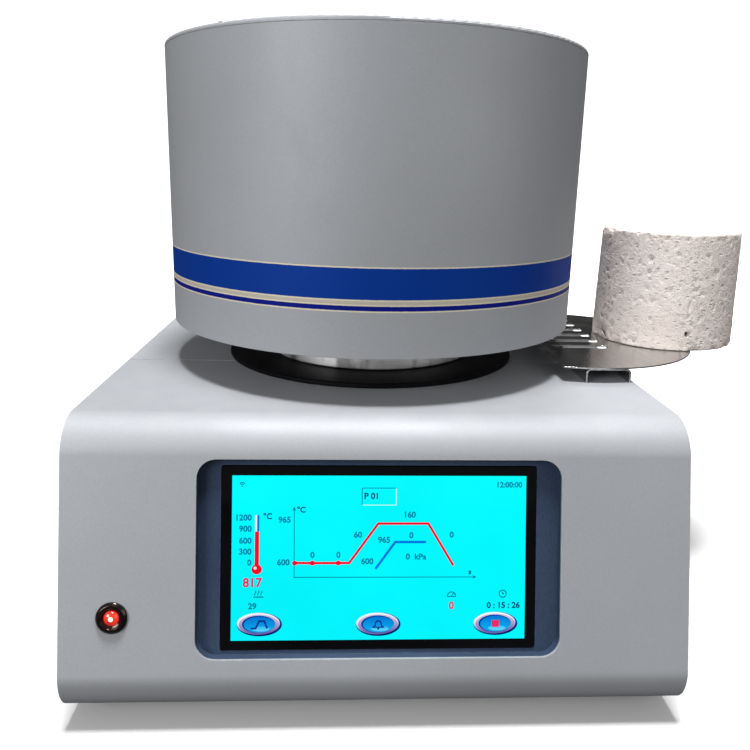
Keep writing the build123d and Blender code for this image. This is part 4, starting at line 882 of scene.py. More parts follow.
# ---------------------------------------------------------------- the finishes in use
class Shop:
    """Every finish that the furnace uses."""

    paint = Finish("silver_paint_base", SILVER_GREY, SILVER_SHADE, metallic=0.2, roughness=0.56,
                   gloss_spread=0.06, grain_size=0.0011, grain_tone=0.05, grain_depth=0.00002,
                   wear=0.5, wear_colour=(0.62, 0.62, 0.62), dust=0.18, smudge=0.05, specular=0.25)
    recess = Finish("dark_recess_enamel", (0.05, 0.078, 0.135), (0.032, 0.05, 0.09), metallic=0.1,
                    roughness=0.34, specular=0.12, grain_size=0.0011, grain_tone=0.08, marks=Marks.UPRIGHT,
                    marks_and_reflection_tone=0.15, wear=0.15, wear_colour=(0.3, 0.33, 0.36), dust=0.03)
    zinc = Finish("zinc_plate", (0.5, 0.51, 0.5), (0.42, 0.43, 0.42), metallic=0.9, roughness=0.42,
                  marks=Marks.SPANGLED, marks_and_reflection_tone=0.12, marks_depth=0.00001, wear=0.3, dust=0.3)
    screw = Finish("socket_screw_steel", (0.46, 0.46, 0.45), (0.34, 0.34, 0.33), metallic=1.0, roughness=0.34,
                   cloud_size=0.01, grain_size=0.0006, wear=0.6, dust=0.15)
    rubber = Finish("foot_rubber", (0.02, 0.02, 0.02), (0.035, 0.034, 0.033), roughness=0.82,
                    grain_size=0.0007, grain_tone=0.2, grain_depth=0.00008, dust=0.4, specular=0.3)
    silicone = Finish("seal_silicone", (0.28, 0.06, 0.035), (0.22, 0.045, 0.03), roughness=0.5,
                      grain_size=0.0008, dust=0.3, cloud_size=0.03)
    glass = Finish("black_front_glass", (0.0014, 0.0014, 0.002), (0.003, 0.003, 0.004), roughness=0.06,
                   gloss_spread=0.03, grain_tone=0.15, grain_depth=0.000002, dust=0.0, smudge=0.05,
                   specular=0.15, cloud_size=0.06)
    lcd_back = Finish("display_back_shell", (0.12, 0.12, 0.13), (0.09, 0.09, 0.1), metallic=0.5,
                      roughness=0.5, marks=Marks.ALONG_X, marks_and_reflection_tone=0.1)
    board = Finish("green_board", (0.015, 0.11, 0.04), (0.01, 0.08, 0.035), roughness=0.35, grain_size=0.0015,
                   grain_tone=0.35, grain_depth=0.0001, cloud_size=0.012)
    chrome = Finish("dark_chrome", (0.07, 0.055, 0.05), (0.035, 0.026, 0.024), metallic=1.0, roughness=0.16,
                    gloss_spread=0.05, cloud_size=0.008, grain_depth=0.000004, dust=0.03, smudge=0.03)
    # seal plate: near-black, darkened further as painted shade for the band of shade under the head
    black = Finish("seal_plate_black_and_painted_shade", (0.003, 0.003, 0.004), (0.005, 0.005, 0.006), roughness=0.5,
                   marks=Marks.TURNED, marks_and_reflection_tone=0.3, turned_about=tuple(AXIS), wear=0.25,
                   wear_colour=(0.1, 0.1, 0.11), dust=0.0, specular=0.05, smudge=0.0)
    # the ring's colour swings from 0.45 to 1.55 of itself in upright bands: painted reflection of the
    # surroundings
    steel = Finish("turned_steel_painted_reflections", (0.9, 0.88, 0.9), (0.8, 0.77, 0.76), metallic=1.0, roughness=0.5,
                   gloss_spread=0.04, marks=Marks.REFLECTION_BANDS, marks_and_reflection_tone=0.55, marks_depth=0.000006,
                   turned_about=tuple(AXIS), grain_size=0.002, grain_tone=0.04, dust=0.0, smudge=0.04)
    bracket = Finish("folded_steel", (0.44, 0.45, 0.45), (0.36, 0.365, 0.37), metallic=1.0, roughness=0.3,
                     marks=Marks.ALONG_Y, marks_and_reflection_tone=0.12, marks_depth=0.000008, wear=0.8,
                     wear_colour=(0.75, 0.75, 0.75), dust=0.2)
    tray = Finish("polished_streaked_steel", (0.56, 0.55, 0.54), (0.44, 0.44, 0.44), metallic=1.0,
                  roughness=0.2, gloss_spread=0.08, marks=Marks.ALONG_Y, marks_and_reflection_tone=0.3,
                  marks_depth=0.00001, wear=0.9, wear_colour=(0.8, 0.8, 0.8), dust=0.12,
                  smudge=0.06, cloud_size=0.1)
    ground = Finish("ground_bar", (0.55, 0.55, 0.55), (0.48, 0.48, 0.48), metallic=1.0, roughness=0.16,
                    marks=Marks.UPRIGHT, marks_and_reflection_tone=0.06, marks_depth=0.000004, dust=0.05)
    aluminium = Finish("milled_aluminium", (0.56, 0.56, 0.57), (0.47, 0.47, 0.48), metallic=1.0,
                       roughness=0.36, marks=Marks.ALONG_X, marks_and_reflection_tone=0.1, marks_depth=0.00001, wear=0.5,
                       dust=0.2)
    bronze = Finish("turned_bronze", (0.42, 0.25, 0.09), (0.3, 0.17, 0.06), metallic=1.0, roughness=0.3,
                    cloud_size=0.012, wear=0.5, wear_colour=(0.7, 0.5, 0.22), dust=0.1)
    wire = Finish("oxidised_wire", (0.09, 0.075, 0.07), (0.16, 0.12, 0.1), metallic=0.7, roughness=0.55,
                  cloud_size=0.006, grain_size=0.0005, grain_tone=0.25)
    plastic = Finish("moulded_black", (0.02, 0.02, 0.021), (0.028, 0.028, 0.029), roughness=0.46,
                     grain_size=0.0009, grain_tone=0.18, grain_depth=0.00005, wear=0.4,
                     wear_colour=(0.12, 0.12, 0.12), dust=0.2)
    motor = Finish("black_enamel", (0.022, 0.022, 0.025), (0.035, 0.035, 0.037), metallic=0.2, roughness=0.48,
                   grain_size=0.0012, grain_tone=0.15, grain_depth=0.00006, wear=0.6,
                   wear_colour=(0.3, 0.3, 0.3), dust=0.3)
    fibre = Finish("ceramic_fibre", (0.78, 0.75, 0.69), (0.68, 0.63, 0.55), roughness=0.95, grain_size=0.0016,
                   grain_tone=0.14, grain_depth=0.0004, dust=0.0, sheen=0.3, specular=0.1, cloud_size=0.04)
    refractory = Refractory("cast_refractory", (0.86, 0.785, 0.745), (0.775, 0.695, 0.65), roughness=0.93,
                            grain_size=0.0013, grain_tone=0.07, grain_depth=0.00025, dust=0.0,
                            cloud_size=0.035, specular=0.15)
    quartz = ClearQuartz("clear_quartz", (0.86, 0.9, 0.92), (0.78, 0.83, 0.86), roughness=0.08,
                         marks=Marks.UPRIGHT, marks_and_reflection_tone=0.04, marks_depth=0.00001, dust=0.0,
                         cloud_size=0.03, smudge=0.1)
    floor = Backdrop("pale_floor", (0.86, 0.86, 0.86), (0.84, 0.84, 0.84), roughness=0.8, grain_tone=0.01,
                     dust=0.0, smudge=0.0, cloud_size=0.5, specular=0.1)


# ---------------------------------------------------------------- base casing
@dataclass
class Casing:
    """The sheet-metal base: covers, sides, floor, rear, feet and their screws."""

    sheet: float = 1.5 * MM
    bend: float = 22.0 * MM
    bend_steps: int = 14
    seam_reach: float = 39.1 * MM
    return_reach: float = 120.0 * MM
    notch: float = 90.3 * MM
    opening_width: float = 188.8 * MM
    opening_height: float = 102.7 * MM
    opening_corner: float = 10.0 * MM
    opening_lift: float = 0.97 * MM
    lamp_hole: float = 6.15 * MM
    foot_radius: float = 11.0 * MM
    foot_hollow: float = 0.9 * MM
    foot_hollow_reach: float = 5.2 * MM
    edge_bevel: float = 0.5 * MM
    slack: float = 0.045 * MM  # lets a chord's middle count as on its arc

    def build(self) -> None:
        """Make every piece of the casing."""
        self.front_cover()
        Maker.recut_all(
            ("rear_top_cover left_side_panel right_side_panel rear_panel", Shop.paint, "silver_paint", 0.35),
            ("bottom_plate", Shop.zinc, "zinc_steel", 0.25),
            ("casing_screws", Shop.screw, "screws", 0.12))
        self.feet()

    @staticmethod
    def _wrap(flat: np.ndarray, outline: np.ndarray) -> np.ndarray:
        """Wrap a blank of (x, s) round the bent outline: a point goes to the outline's place at length s."""
        lengths = run_lengths(outline)
        y, z = (np.interp(flat[:, 1], lengths, outline[:, k]) for k in (0, 1))
        return np.column_stack((flat[:, 0], y, z))

    def front_cover(self) -> None:
        """One blank with notch, opening and lamp hole, wrapped over the top, the face and the underside."""
        low, middle, high = spot("front_cover")
        half = (high[0] - low[0]) / 2
        slope = math.tan(FACE.lean)
        at_top = FACE.origin[1] + (high[2] - FACE.origin[2]) * slope
        at_low = FACE.origin[1] + (low[2] - FACE.origin[2]) * slope
        sharp = [(AXIS[1] - self.seam_reach, high[2]), (at_top, high[2]), (at_low, low[2]),
                 (AXIS[1] - self.return_reach, low[2])]
        outline = filleted(sharp, [0, self.bend, self.bend, 0], self.bend_steps, closed=False)
        lengths = run_lengths(outline)
        total = lengths[-1]
        first_bend = self.bend_steps + 1
        face_start = outline[first_bend]
        to_middle = (face_start[1] - FACE.origin[2]) / math.cos(FACE.lean)
        middle_s = lengths[first_bend] + to_middle
        centre = np.array([FACE.origin[0], middle_s - self.opening_lift])
        w, h = self.opening_width / 2, self.opening_height / 2
        box = [(-w, -h), (w, -h), (w, h), (-w, h)]
        opening = filleted(box, [self.opening_corner] * 4, 12) + centre
        lamp = spot("lamp_bezel")[1]
        lamp_up = float((lamp - FACE.origin) @ FACE.up)
        lamp_at = np.array([lamp[0], middle_s - lamp_up])
        lamp_hole = circle(self.lamp_hole, 40) + lamp_at
        notch_half = math.asin(self.seam_reach / self.notch)
        arc = circle(self.notch, 60, math.pi + notch_half, math.pi - 2 * notch_half)
        arc = np.column_stack((AXIS[0] + arc[:, 0], -self.seam_reach - arc[:, 1]))
        left, right = middle[0] - half, middle[0] + half
        edge = np.array([(left, 0.0), *map(tuple, arc), (right, 0.0), (right, total), (left, total)])
        folds = [(left, s, right, s) for s in lengths[1:-1]]

        def metal(at: np.ndarray) -> np.ndarray:
            """True where the blank is not notch, opening or lamp hole."""
            notch = np.hypot(at[:, 0] - AXIS[0], at[:, 1] + self.seam_reach) > self.notch - self.slack
            lamp_free = np.hypot(*(at - lamp_at).T) > self.lamp_hole - self.slack
            gap = np.abs(at - centre) - (np.array([w, h]) - self.opening_corner)
            corner = np.hypot(*np.maximum(gap, 0.0).T) + np.minimum(gap.max(axis=1), 0.0)
            return notch & lamp_free & (corner > self.opening_corner - self.slack)

        flat, triangles = cut_blank([edge, opening, lamp_hole], folds, metal)
        points = self._wrap(flat, outline)
        inner = np.array([AXIS[0], AXIS[1] - 60 * MM, TOP / 2])  # well inside the casing
        mesh = Mesh(points, faced_out(points, triangles, inner).tolist())
        made = Maker.piece("front_cover_sheet", mesh, Shop.paint, "base", "silver_paint", ("front_cover",),
                           self.edge_bevel, self.sheet)
        made.modifiers["wall"].use_even_offset = True

    def feet(self) -> None:
        """Four turned rubber feet with a rounded sole and a moulded groove."""
        low, _, high = spot("feet")
        top, r, rise = high[2] - 0.1 * MM, self.foot_radius, self.foot_hollow
        sharp = [(0, rise), (self.foot_hollow_reach - 0.7 * MM, rise), (self.foot_hollow_reach, 0),
                 (r - 1.5 * MM, 0), (r - 0.6 * MM, 5 * MM), (r - 1.1 * MM, 5.6 * MM),
                 (r - 0.5 * MM, 6.2 * MM), (r, top), (0, top)]
        radii = [mm * MM for mm in (0, 0.3, 0.3, 1.2, 0.2, 0.2, 0.2, 0.3, 0)]
        profile = filleted(sharp, radii, 5)
        places = [(x, y) for x in (low[0] + r, high[0] - r) for y in (low[1] + r, high[1] - r)]
        mesh = Mesh.joined([lathe(profile, place, 56) for place in places])
        Maker.piece("feet_moulded", mesh, Shop.rubber, "base", "rubber", ("feet",))


# ---------------------------------------------------------------- screen
@dataclass
class Display:
    """The touch screen: black-bordered glass, lit field and its generic drawing."""

    lit_width: float = 154.08 * MM
    lit_height: float = 85.92 * MM
    lit_lift: float = 0.05 * MM  # lit field over the glass
    layer: float = 0.02 * MM     # from one layer of the drawing to the next
    bow: float = 0.004 * MM

    def build(self) -> None:
        """Make the pan, the glass, the lit field, the drawing and what lies behind."""
        Maker.recut("screen_pan", Shop.recess, "recess_paint", 0.4 * MM)
        Maker.recut("touch_panel", Shop.glass, "screen_glass", 0.35 * MM, "front_glass")
        Maker.recut_all(("lcd_module", Shop.lcd_back, "display", 0.4),
                        ("screen_frame", Shop.zinc, "zinc_steel", 0.25),
                        ("control_board", Shop.board, "circuit_board", 0.2))
        self.field()
        self.drawing()

    @staticmethod
    def _glow(name: str, colour: Colour, high: Colour, span: Tuple[float, float] = (-43.0, 43.0)) -> Glow:
        """A lit finish that runs in colour between two heights up the face, given in millimetres."""
        low_z, high_z = (float(FACE.lift(np.array([[0.0, v * MM]]))[0][2]) for v in span)
        return Glow(name, colour, colour, high_colour=high, low=low_z, high=high_z, coat=0.0, specular=0.08,
                    cloud_size=0.05)

    def field(self) -> None:
        """The lit cyan field, as a grid bowed a hair towards its middle."""
        columns, rows = 33, 19
        u = np.linspace(-0.5, 0.5, columns) * self.lit_width
        v = np.linspace(-0.5, 0.5, rows) * self.lit_height
        across, up = np.meshgrid(u, v, indexing="ij")
        bow = self.bow * np.cos(np.pi * across / self.lit_width) * np.cos(np.pi * up / self.lit_height)
        flat = np.column_stack((across.ravel(), up.ravel(), bow.ravel()))
        faces = grid_faces(columns, rows, False, False).tolist()
        mesh = Mesh(FACE.lift(flat, self.lit_lift - GLASS_FRONT_DEPTH), faces)
        self._lay("display_field", [mesh], self._glow("lit_cyan", (0.0, 0.9, 0.98), (0.0, 0.96, 1.0)))

    def _lay(self, name: str, meshes: Sequence[Mesh], finish: Glow) -> None:
        """Make one flat piece of the drawing, its faces turned to the viewer."""
        mesh = Mesh.joined(meshes)
        faces = []
        for face in mesh.faces:
            a, b, c = (mesh.points[i] for i in face[:3])
            faces.append(face if np.cross(b - a, c - a) @ FACE.out > 0 else tuple(face)[::-1])
        data = bpy.data.meshes.new(name)
        data.from_pydata(mesh.points.tolist(), [], faces)
        made = bpy.data.objects.new(name, data)
        bpy.context.scene.collection.objects.link(made)
        data.materials.append(finish.material())
        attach(made, "base")
        log.info("%s: %d faces on the display", name, len(faces))

    def _raise(self, flat: np.ndarray, faces: Sequence[Sequence[int]], level: int = 1) -> Mesh:
        """Flat points in millimetres on the glass, one layer or more above the lit field."""
        height = self.lit_lift - GLASS_FRONT_DEPTH + level * self.layer
        lifted = FACE.lift(np.asarray(flat, float) * MM, height)
        return Mesh(lifted, [tuple(int(i) for i in face) for face in faces])

    def ribbon(self, line: Loop, width: float, closed: bool = False, level: int = 1) -> Mesh:
        """A line of even width: each point moves both ways along its mitre by width / 2 / cos(turn / 2)."""
        points = np.asarray(line, float)
        ahead = np.roll(points, -1, axis=0) - points
        behind = points - np.roll(points, 1, axis=0)
        if not closed:
            ahead[-1], behind[0] = behind[-1], ahead[0]
        ahead /= np.linalg.norm(ahead, axis=1, keepdims=True)
        behind /= np.linalg.norm(behind, axis=1, keepdims=True)
        way = ahead + behind
        way /= np.linalg.norm(way, axis=1, keepdims=True)
        normal = np.column_stack((-way[:, 1], way[:, 0]))
        stretch = np.clip((way * ahead).sum(axis=1), 0.4, 1.0)[:, None]
        side = normal * (width / 2) / stretch
        flat = np.stack((points - side, points + side), axis=1).reshape(-1, 2)
        return self._raise(flat, grid_faces(len(points), 2, closed, False), level)

    def oval(self, centre: Tuple[float, float], a: float, b: float, level: int = 1) -> Mesh:
        """An oval disc: rings of (a cos t, b sin t)."""
        steps, rings = 48, 3
        shares = np.linspace(0.0, 1.0, rings)[:, None, None]
        flat = (shares * circle(1.0, steps) * np.array([a, b]) + np.array(centre)).reshape(-1, 2)
        return self._raise(flat, grid_faces(rings, steps, False, True), level)

    def block(self, low: Tuple[float, float], high: Tuple[float, float], level: int = 1) -> Mesh:
        """A filled rectangle between two corners."""
        flat = [(low[0], low[1]), (high[0], low[1]), (high[0], high[1]), (low[0], high[1])]
        return self._raise(np.array(flat), [(0, 1, 2, 3)], level)

    def words(self, text: str, place: Tuple[float, float], size: float, align: str = "CENTER",
              level: int = 1) -> Mesh:
        """Numbers or units as flat faces.

        Args:
            text: what to write.
            place: the middle of the line, or its end by align.
            size: the letters' height in millimetres.
            align: LEFT, CENTER or RIGHT.
            level: how many layers above the lit field.
        Returns:
            The letters as a surface.
        """
        curve = bpy.data.curves.new("letters", "FONT")
        curve.body, curve.size, curve.align_x, curve.align_y = text, size * 1.5, align, "CENTER"
        curve.resolution_u = 3
        curve.offset = size * 0.05
        holder = bpy.data.objects.new("letters", curve)
        bpy.context.scene.collection.objects.link(holder)
        view = bpy.context.evaluated_depsgraph_get()
        view.update()
        flat = bpy.data.meshes.new_from_object(holder.evaluated_get(view))
        points = np.array([tuple(v.co)[:2] for v in flat.vertices]) + np.array(place)
        faces = [tuple(p.vertices) for p in flat.polygons]
        bpy.data.objects.remove(holder)
        bpy.data.curves.remove(curve)
        bpy.data.meshes.remove(flat)
        return self._raise(points, faces, level)

    def drawing(self) -> None:
        """The generic firing screen: thermometer, programme graph, readings and three push fields."""
        write, line, disc = self.words, self.ribbon, self.oval
        navy = [line([(-44.9, 26.1), (-44.6, -9.9)], 0.35), line([(-44.8, -10.1), (50.5, -10.3)], 0.35),
                line([(-45.7, 24.6), (-44.9, 26.4), (-44.1, 24.6)], 0.3),
                line([(49.1, -9.6), (50.8, -10.3), (49.1, -11.0)], 0.3),
                line([(-9.6, 27.6), (-9.6, 36.5), (8.3, 36.5)], 0.35)]
        navy += [write(text, place, size) for text, place, size in
                 (("P 01", (-4.6, 32.2), 3.0), ("°C", (-58.6, 21.6), 2.8), ("°C", (-41.2, 25.0), 2.8),
                  ("s", (47.6, -7.6), 2.6))]
        navy += self.radio_icon((-71.8, 37.4)) + [write("0 : 15 : 26", (65.6, -25.4), 2.9)]
        navy += self.heat_icon((-63.0, -18.6)) + self.gauge_icon((38.0, -19.3))
        navy += self.clock_icon((65.2, -19.2))
        steel = [write(label, (-66.8, up), 2.9, "RIGHT") for label, up in
                 (("1200", 20.9), ("900", 15.1), ("600", 8.9), ("300", 3.2), ("0", -2.5))]
        steel += [write(label, place, 2.9) for label, place in
                  (("965", (-49.8, 19.8)), ("600", (-50.3, -2.4)), ("0", (-35.2, 1.4)), ("0", (-21.7, 1.4)),
                   ("60", (-11.6, 11.9)), ("160", (15.4, 22.4)), ("0", (37.7, 11.9)), ("965", (2.2, 9.2)),
                   ("0", (16.4, 11.6)), ("600", (-6.6, -2.0)), ("0  kPa", (19.0, 0.4)))]
        steel += [write("12:00:00", (74.9, 38.2), 2.7, "RIGHT"), write("29", (-66.1, -25.2), 2.9)]
        curve = [(-44.6, -2.6), (-35.2, -2.7), (-16.0, -2.7), (-1.0, 17.9), (25.3, 17.9), (38.8, -4.2)]
        red = [line(curve, 1.3)] + [disc((x, -2.7), 1.35, 1.3) for x in (-44.4, -35.2, -21.7)]
        red += [disc((-64.0, -5.9), 2.7, 2.6), self.block((-65.1, -5.0), (-62.9, 13.8))]
        rose = [write("817", (-66.2, -13.0), 4.4), write("0", (38.0, -25.4), 3.6)]
        blue = [line([(-2.3, -5.9), (8.0, 8.2), (24.3, 8.2)], 1.3), self.block((-64.0, 13.8), (-62.9, 22.4))]
        white = [self.block((-65.1, 13.8), (-64.0, 22.4)), disc((-64.8, -5.2), 0.8, 0.8, 2),
                 line([(-9.3, 27.6), (8.3, 27.6), (8.3, 36.3)], 0.3)]
        rows = (("lines", navy, "lit_navy", (0.0, 0.045, 0.16), (0.0, 0.06, 0.2)),
                ("numbers", steel, "lit_teal", (0.0, 0.19, 0.36), (0.0, 0.22, 0.4)),
                ("curve", red, "lit_red", (0.85, 0.0, 0.02), (0.95, 0.005, 0.03)),
                ("readings", rose, "lit_rose", (0.75, 0.03, 0.12), (0.8, 0.04, 0.15)),
                ("second_curve", blue, "lit_blue", (0.0, 0.2, 0.78), (0.0, 0.16, 0.72)),
                ("highlights", white, "lit_white", (0.6, 0.7, 0.9), (0.85, 0.9, 1.0)))
        for name, meshes, finish, low, high in rows:
            self._lay("display_" + name, meshes, self._glow(finish, low, high))
        self.buttons()

    def buttons(self) -> None:
        """Three oval push fields, each of six stacked ovals, and the sign on each."""
        middles = ((-62.3, -34.6), (-0.4, -34.9), (61.5, -34.9))
        rows = (("button_shade", (0.0, 0.0), (11.75, 6.15), "lit_rim_shade",
                 (0.0, 0.004, 0.13), (0.03, 0.05, 0.4), (-40.2, -30.0)),
                ("button_shine", (-0.5, 0.4), (11.1, 5.65), "lit_rim_shine",
                 (0.25, 0.25, 0.6), (0.95, 0.93, 1.0), (-40.2, -34.0)),
                ("button_rims", (-0.1, 0.05), (10.5, 5.2), "lit_rim",
                 (0.12, 0.12, 0.42), (0.7, 0.66, 0.85), (-40.2, -30.0)),
                ("button_wells", (-0.35, 0.2), (8.6, 4.5), "lit_rim_well",
                 (0.0, 0.02, 0.3), (0.0, 0.02, 0.25), (-43.0, 43.0)),
                ("buttons", (0.0, 0.0), (8.1, 4.15), "lit_button_blue",
                 (0.0, 0.4, 0.85), (0.0, 0.12, 0.6), (-39.0, -30.5)),
                ("button_sheen", (0.8, -2.3), (4.6, 1.3), "lit_button_sheen",
                 (0.1, 0.65, 0.98), (0.0, 0.35, 0.8), (-39.0, -36.0)))
        for level, (name, shift, (a, b), finish, low, high, span) in enumerate(rows, start=1):
            ovals = [self.oval((x + shift[0], y + shift[1]), a, b, level) for x, y in middles]
            self._lay("display_" + name, ovals, self._glow(finish, low, high, span))
        top = len(rows) + 1
        ramp = [(-66.8, -36.6), (-64.2, -36.6), (-62.4, -32.8), (-59.8, -32.8), (-58.2, -36.6)]
        marks = [self.ribbon(ramp, 1.0, level=top)] + self.bell_icon(middles[1], top)
        self._lay("display_button_marks", marks,
                  self._glow("lit_button_mark", (0.0, 0.03, 0.3), (0.0, 0.05, 0.4)))
        stop = [self.block((59.6, -36.7), (63.4, -33.1), top)]
        self._lay("display_stop_mark", stop, self._glow("lit_stop", (0.8, 0.02, 0.12), (0.85, 0.03, 0.16)))

    def radio_icon(self, at: Tuple[float, float]) -> List[Mesh]:
        """Two arcs over a dot."""
        quarter = math.pi / 2
        arcs = [circle(reach, 8, quarter / 2, quarter) + np.array(at) for reach in (1.1, 1.9)]
        return [self.oval(at, 0.35, 0.35)] + [self.ribbon(arc, 0.4) for arc in arcs]

    def heat_icon(self, at: Tuple[float, float]) -> List[Mesh]:
        """Three rising wavy lines over a bar."""
        t = np.linspace(-1.0, 1.0, 9)
        wave = np.column_stack((0.35 * np.sin(math.pi * t), 1.3 * t))
        parts = [self.ribbon(wave + np.array(at) + np.array([shift, 0.4]), 0.4) for shift in (-1.6, 0.0, 1.6)]
        return parts + [self.ribbon([(at[0] - 2.6, at[1] - 1.7), (at[0] + 2.6, at[1] - 1.7)], 0.5)]

    def gauge_icon(self, at: Tuple[float, float]) -> List[Mesh]:
        """A half dial with its needle."""
        arc = circle(2.2, 14, 0.0, math.pi) + np.array([at[0], at[1] - 1.0])
        needle = [(at[0], at[1] - 1.0), (at[0] + 1.1, at[1] + 0.6)]
        base = [(at[0] - 2.4, at[1] - 1.2), (at[0] + 2.4, at[1] - 1.2)]
        return [self.ribbon(arc, 0.45), self.ribbon(needle, 0.4), self.ribbon(base, 0.4)]

    def clock_icon(self, at: Tuple[float, float]) -> List[Mesh]:
        """A round face with two hands."""
        ring = circle(1.9, 24) + np.array(at)
        hands = [(at[0], at[1] + 1.2), (at[0], at[1]), (at[0] + 0.9, at[1])]
        return [self.ribbon(ring, 0.45, closed=True), self.ribbon(hands, 0.4)]

    def bell_icon(self, at: Tuple[float, float], level: int) -> List[Mesh]:
        """A bell's outline with its clapper."""
        left = [(-2.6, -1.5), (-1.7, -0.7), (-1.4, 0.9), (-0.6, 1.8)]
        outline = np.array(left + [(-x, y) for x, y in left[::-1]]) + np.array(at)
        clapper = self.oval((at[0], at[1] - 2.3), 0.6, 0.5, level)
        return [self.ribbon(outline, 0.8, closed=True, level=level), clapper]


@dataclass
class Lamp:
    """The red pilot lamp: stepped dark bezel, domed lens and its nut."""

    bezel: float = 8.0 * MM
    barrel: float = 5.9 * MM
    barrel_low: float = -17.9 * MM
    barrel_high: float = 0.02 * MM
    crown: float = 2.2 * MM
    lens: float = 3.75 * MM
    lens_low: float = -12.0 * MM
    lens_rim: float = 0.9 * MM
    dome: float = 1.85 * MM
    clearance: float = 0.15 * MM
    spot_radius: float = 1.15 * MM

    def build(self) -> None:
        """Make the bezel, the lens and the nut."""
        middle = spot("lamp_bezel")[1]
        across = middle[0] - FACE.origin[0]
        up = float((middle - FACE.origin) @ FACE.up)
        r, l = self.bezel, self.lens
        hole = l + self.clearance
        sharp = [(hole, self.barrel_low), (self.barrel, self.barrel_low), (self.barrel, self.barrel_high),
                 (r, self.barrel_high), (r, self.crown / 2), (r - 1.3 * MM, self.crown),
                 (l + 1.6 * MM, self.crown), (l + 1.2 * MM, 1.5 * MM), (hole, self.crown / 2)]
        radii = [mm * MM for mm in (0, 0.3, 0, 0.1, 0.7, 0.6, 0.3, 0.2, 0.2)]
        bezel = self._on_face(lathe(filleted(sharp, radii, 5), (0.0, 0.0), 96), across, up)
        Maker.piece("lamp_bezel_ring", bezel, Shop.chrome, "base", "dark_chrome", ("lamp_bezel",))
        lens = self._capped(l, self.lens_low, self.lens_rim, self.dome, 14, 72)
        low_z, high_z = spot("lamp_lens")[0][2], spot("lamp_lens")[2][2]
        glow = Glow("lit_red_lens", (0.6, 0.004, 0.006), (0.6, 0.01, 0.01), high_colour=(1.0, 0.05, 0.02),
                    low=low_z + 1.5 * MM, high=high_z - 1.0 * MM, unevenness=0.45, coat=1.0,
                    coat_roughness=0.05, cloud_size=0.0035)
        lens = self._on_face(lens, across, up)
        Maker.piece("lamp_lens_dome", lens, glow, "base", "red_lens", ("lamp_lens",))
        core = self._capped(self.spot_radius, 2.5 * MM, 2.68 * MM, 0.1 * MM, 7, 40)
        glow = Glow("lit_hot_spot", (1.0, 0.75, 0.4), (1.0, 0.8, 0.5), high_colour=(1.0, 0.95, 0.7),
                    low=low_z, high=high_z, strength=2.2, coat=1.0, cloud_size=0.003)
        core = self._on_face(core, across + 0.2 * MM, up + 0.1 * MM)
        Maker.piece("lamp_hot_spot", core, glow, "base", "red_lens")
        Maker.recut("lamp_nut", Shop.chrome, "dark_chrome", 0.2 * MM)

    @staticmethod
    def _capped(radius: float, low: float, rim: float, rise: float, arc: int, steps: int) -> Mesh:
        """A turned plug under a cap of (radius cos t, rim + rise sin t).

        Args:
            radius: the plug's reach.
            low: where the plug ends.
            rim: where the cap starts.
            rise: the cap's height over its rim.
            arc: points on the cap's profile.
            steps: pieces round the axis.
        Returns:
            The plug and its cap, about Z.
        """
        t = np.linspace(0.0, math.pi / 2, arc)
        cap = np.column_stack((radius * np.cos(t), rim + rise * np.sin(t)))
        return lathe(np.concatenate(([(0.0, low), (radius, low)], cap)), (0.0, 0.0), steps)

    @staticmethod
    def _on_face(mesh: Mesh, across: float, up: float) -> Mesh:
        """A turned shape about Z, carried onto the face at a place on it."""
        return Mesh(FACE.lift(mesh.points + np.array([across, up, 0.0])), mesh.faces)


# ---------------------------------------------------------------- hearth and seal
@dataclass
class Hearth:
    """The seal plate, near-black partly as painted shade under the head, the silicone ring in its groove and
    the refractory disc.
    """

    plate_rise: float = 3.0 * MM
    boss_step: float = 10.0 * MM
    groove_half: float = 2.0 * MM
    groove_depth: float = 2.6 * MM
    ring_middle: float = 66.625 * MM
    ring_half: float = 1.9 * MM
    disc_rim: float = 9.0 * MM
    disc_dish: float = 0.5 * MM

    def build(self) -> None:
        """Make the plate, the ring and the disc as turned shapes."""
        low, _, high = spot("seal_plate")
        r = (high[0] - low[0]) / 2
        boss = r - self.boss_step
        top, seat, groove = high[2], high[2] - self.plate_rise, high[2] - self.groove_depth
        inner, outer = self.ring_middle - self.groove_half, self.ring_middle + self.groove_half
        sharp = [(0, low[2]), (boss, low[2]), (boss, seat), (r, seat), (r, top), (outer, top),
                 (outer, groove), (inner, groove), (inner, top), (0, top)]
        fine = 0.3 * MM
        profile = filleted(sharp, [0, 0.8 * MM, fine, fine, 1.2 * MM, fine, fine, fine, fine, 0], 5)
        # the plate's near-black finish is partly painted shade under the head
        Maker.piece("seal_plate_turned", lathe(profile, AXIS, 160), Shop.black, "base", "black_anodised",
                    ("seal_plate",))
        low, _, high = spot("seal_ring")
        inner, outer = self.ring_middle - self.ring_half, self.ring_middle + self.ring_half
        sharp = [(inner, low[2]), (outer, low[2]), (outer, high[2]), (inner, high[2])]
        profile = filleted(sharp, [0.5 * MM, 0.5 * MM, 1.1 * MM, 1.1 * MM], 6)
        Maker.piece("seal_ring_moulded", lathe(profile, AXIS, 160), Shop.silicone, "base", "silicone",
                    ("seal_ring",))
        low, _, high = spot("hearth_plate")
        r = (high[0] - low[0]) / 2
        rim, dish = r - self.disc_rim, high[2] - self.disc_dish
        sharp = [(0, low[2]), (r, low[2]), (r, high[2]), (rim, high[2]), (rim - 0.6 * MM, dish), (0, dish)]
        profile = filleted(sharp, [0, 0.8 * MM, 1.2 * MM, 0.3 * MM, 0.3 * MM, 0], 5)
        Maker.piece("hearth_disc", lathe(profile, AXIS, 128), Shop.refractory, "base", "refractory",
                    ("hearth_plate",))


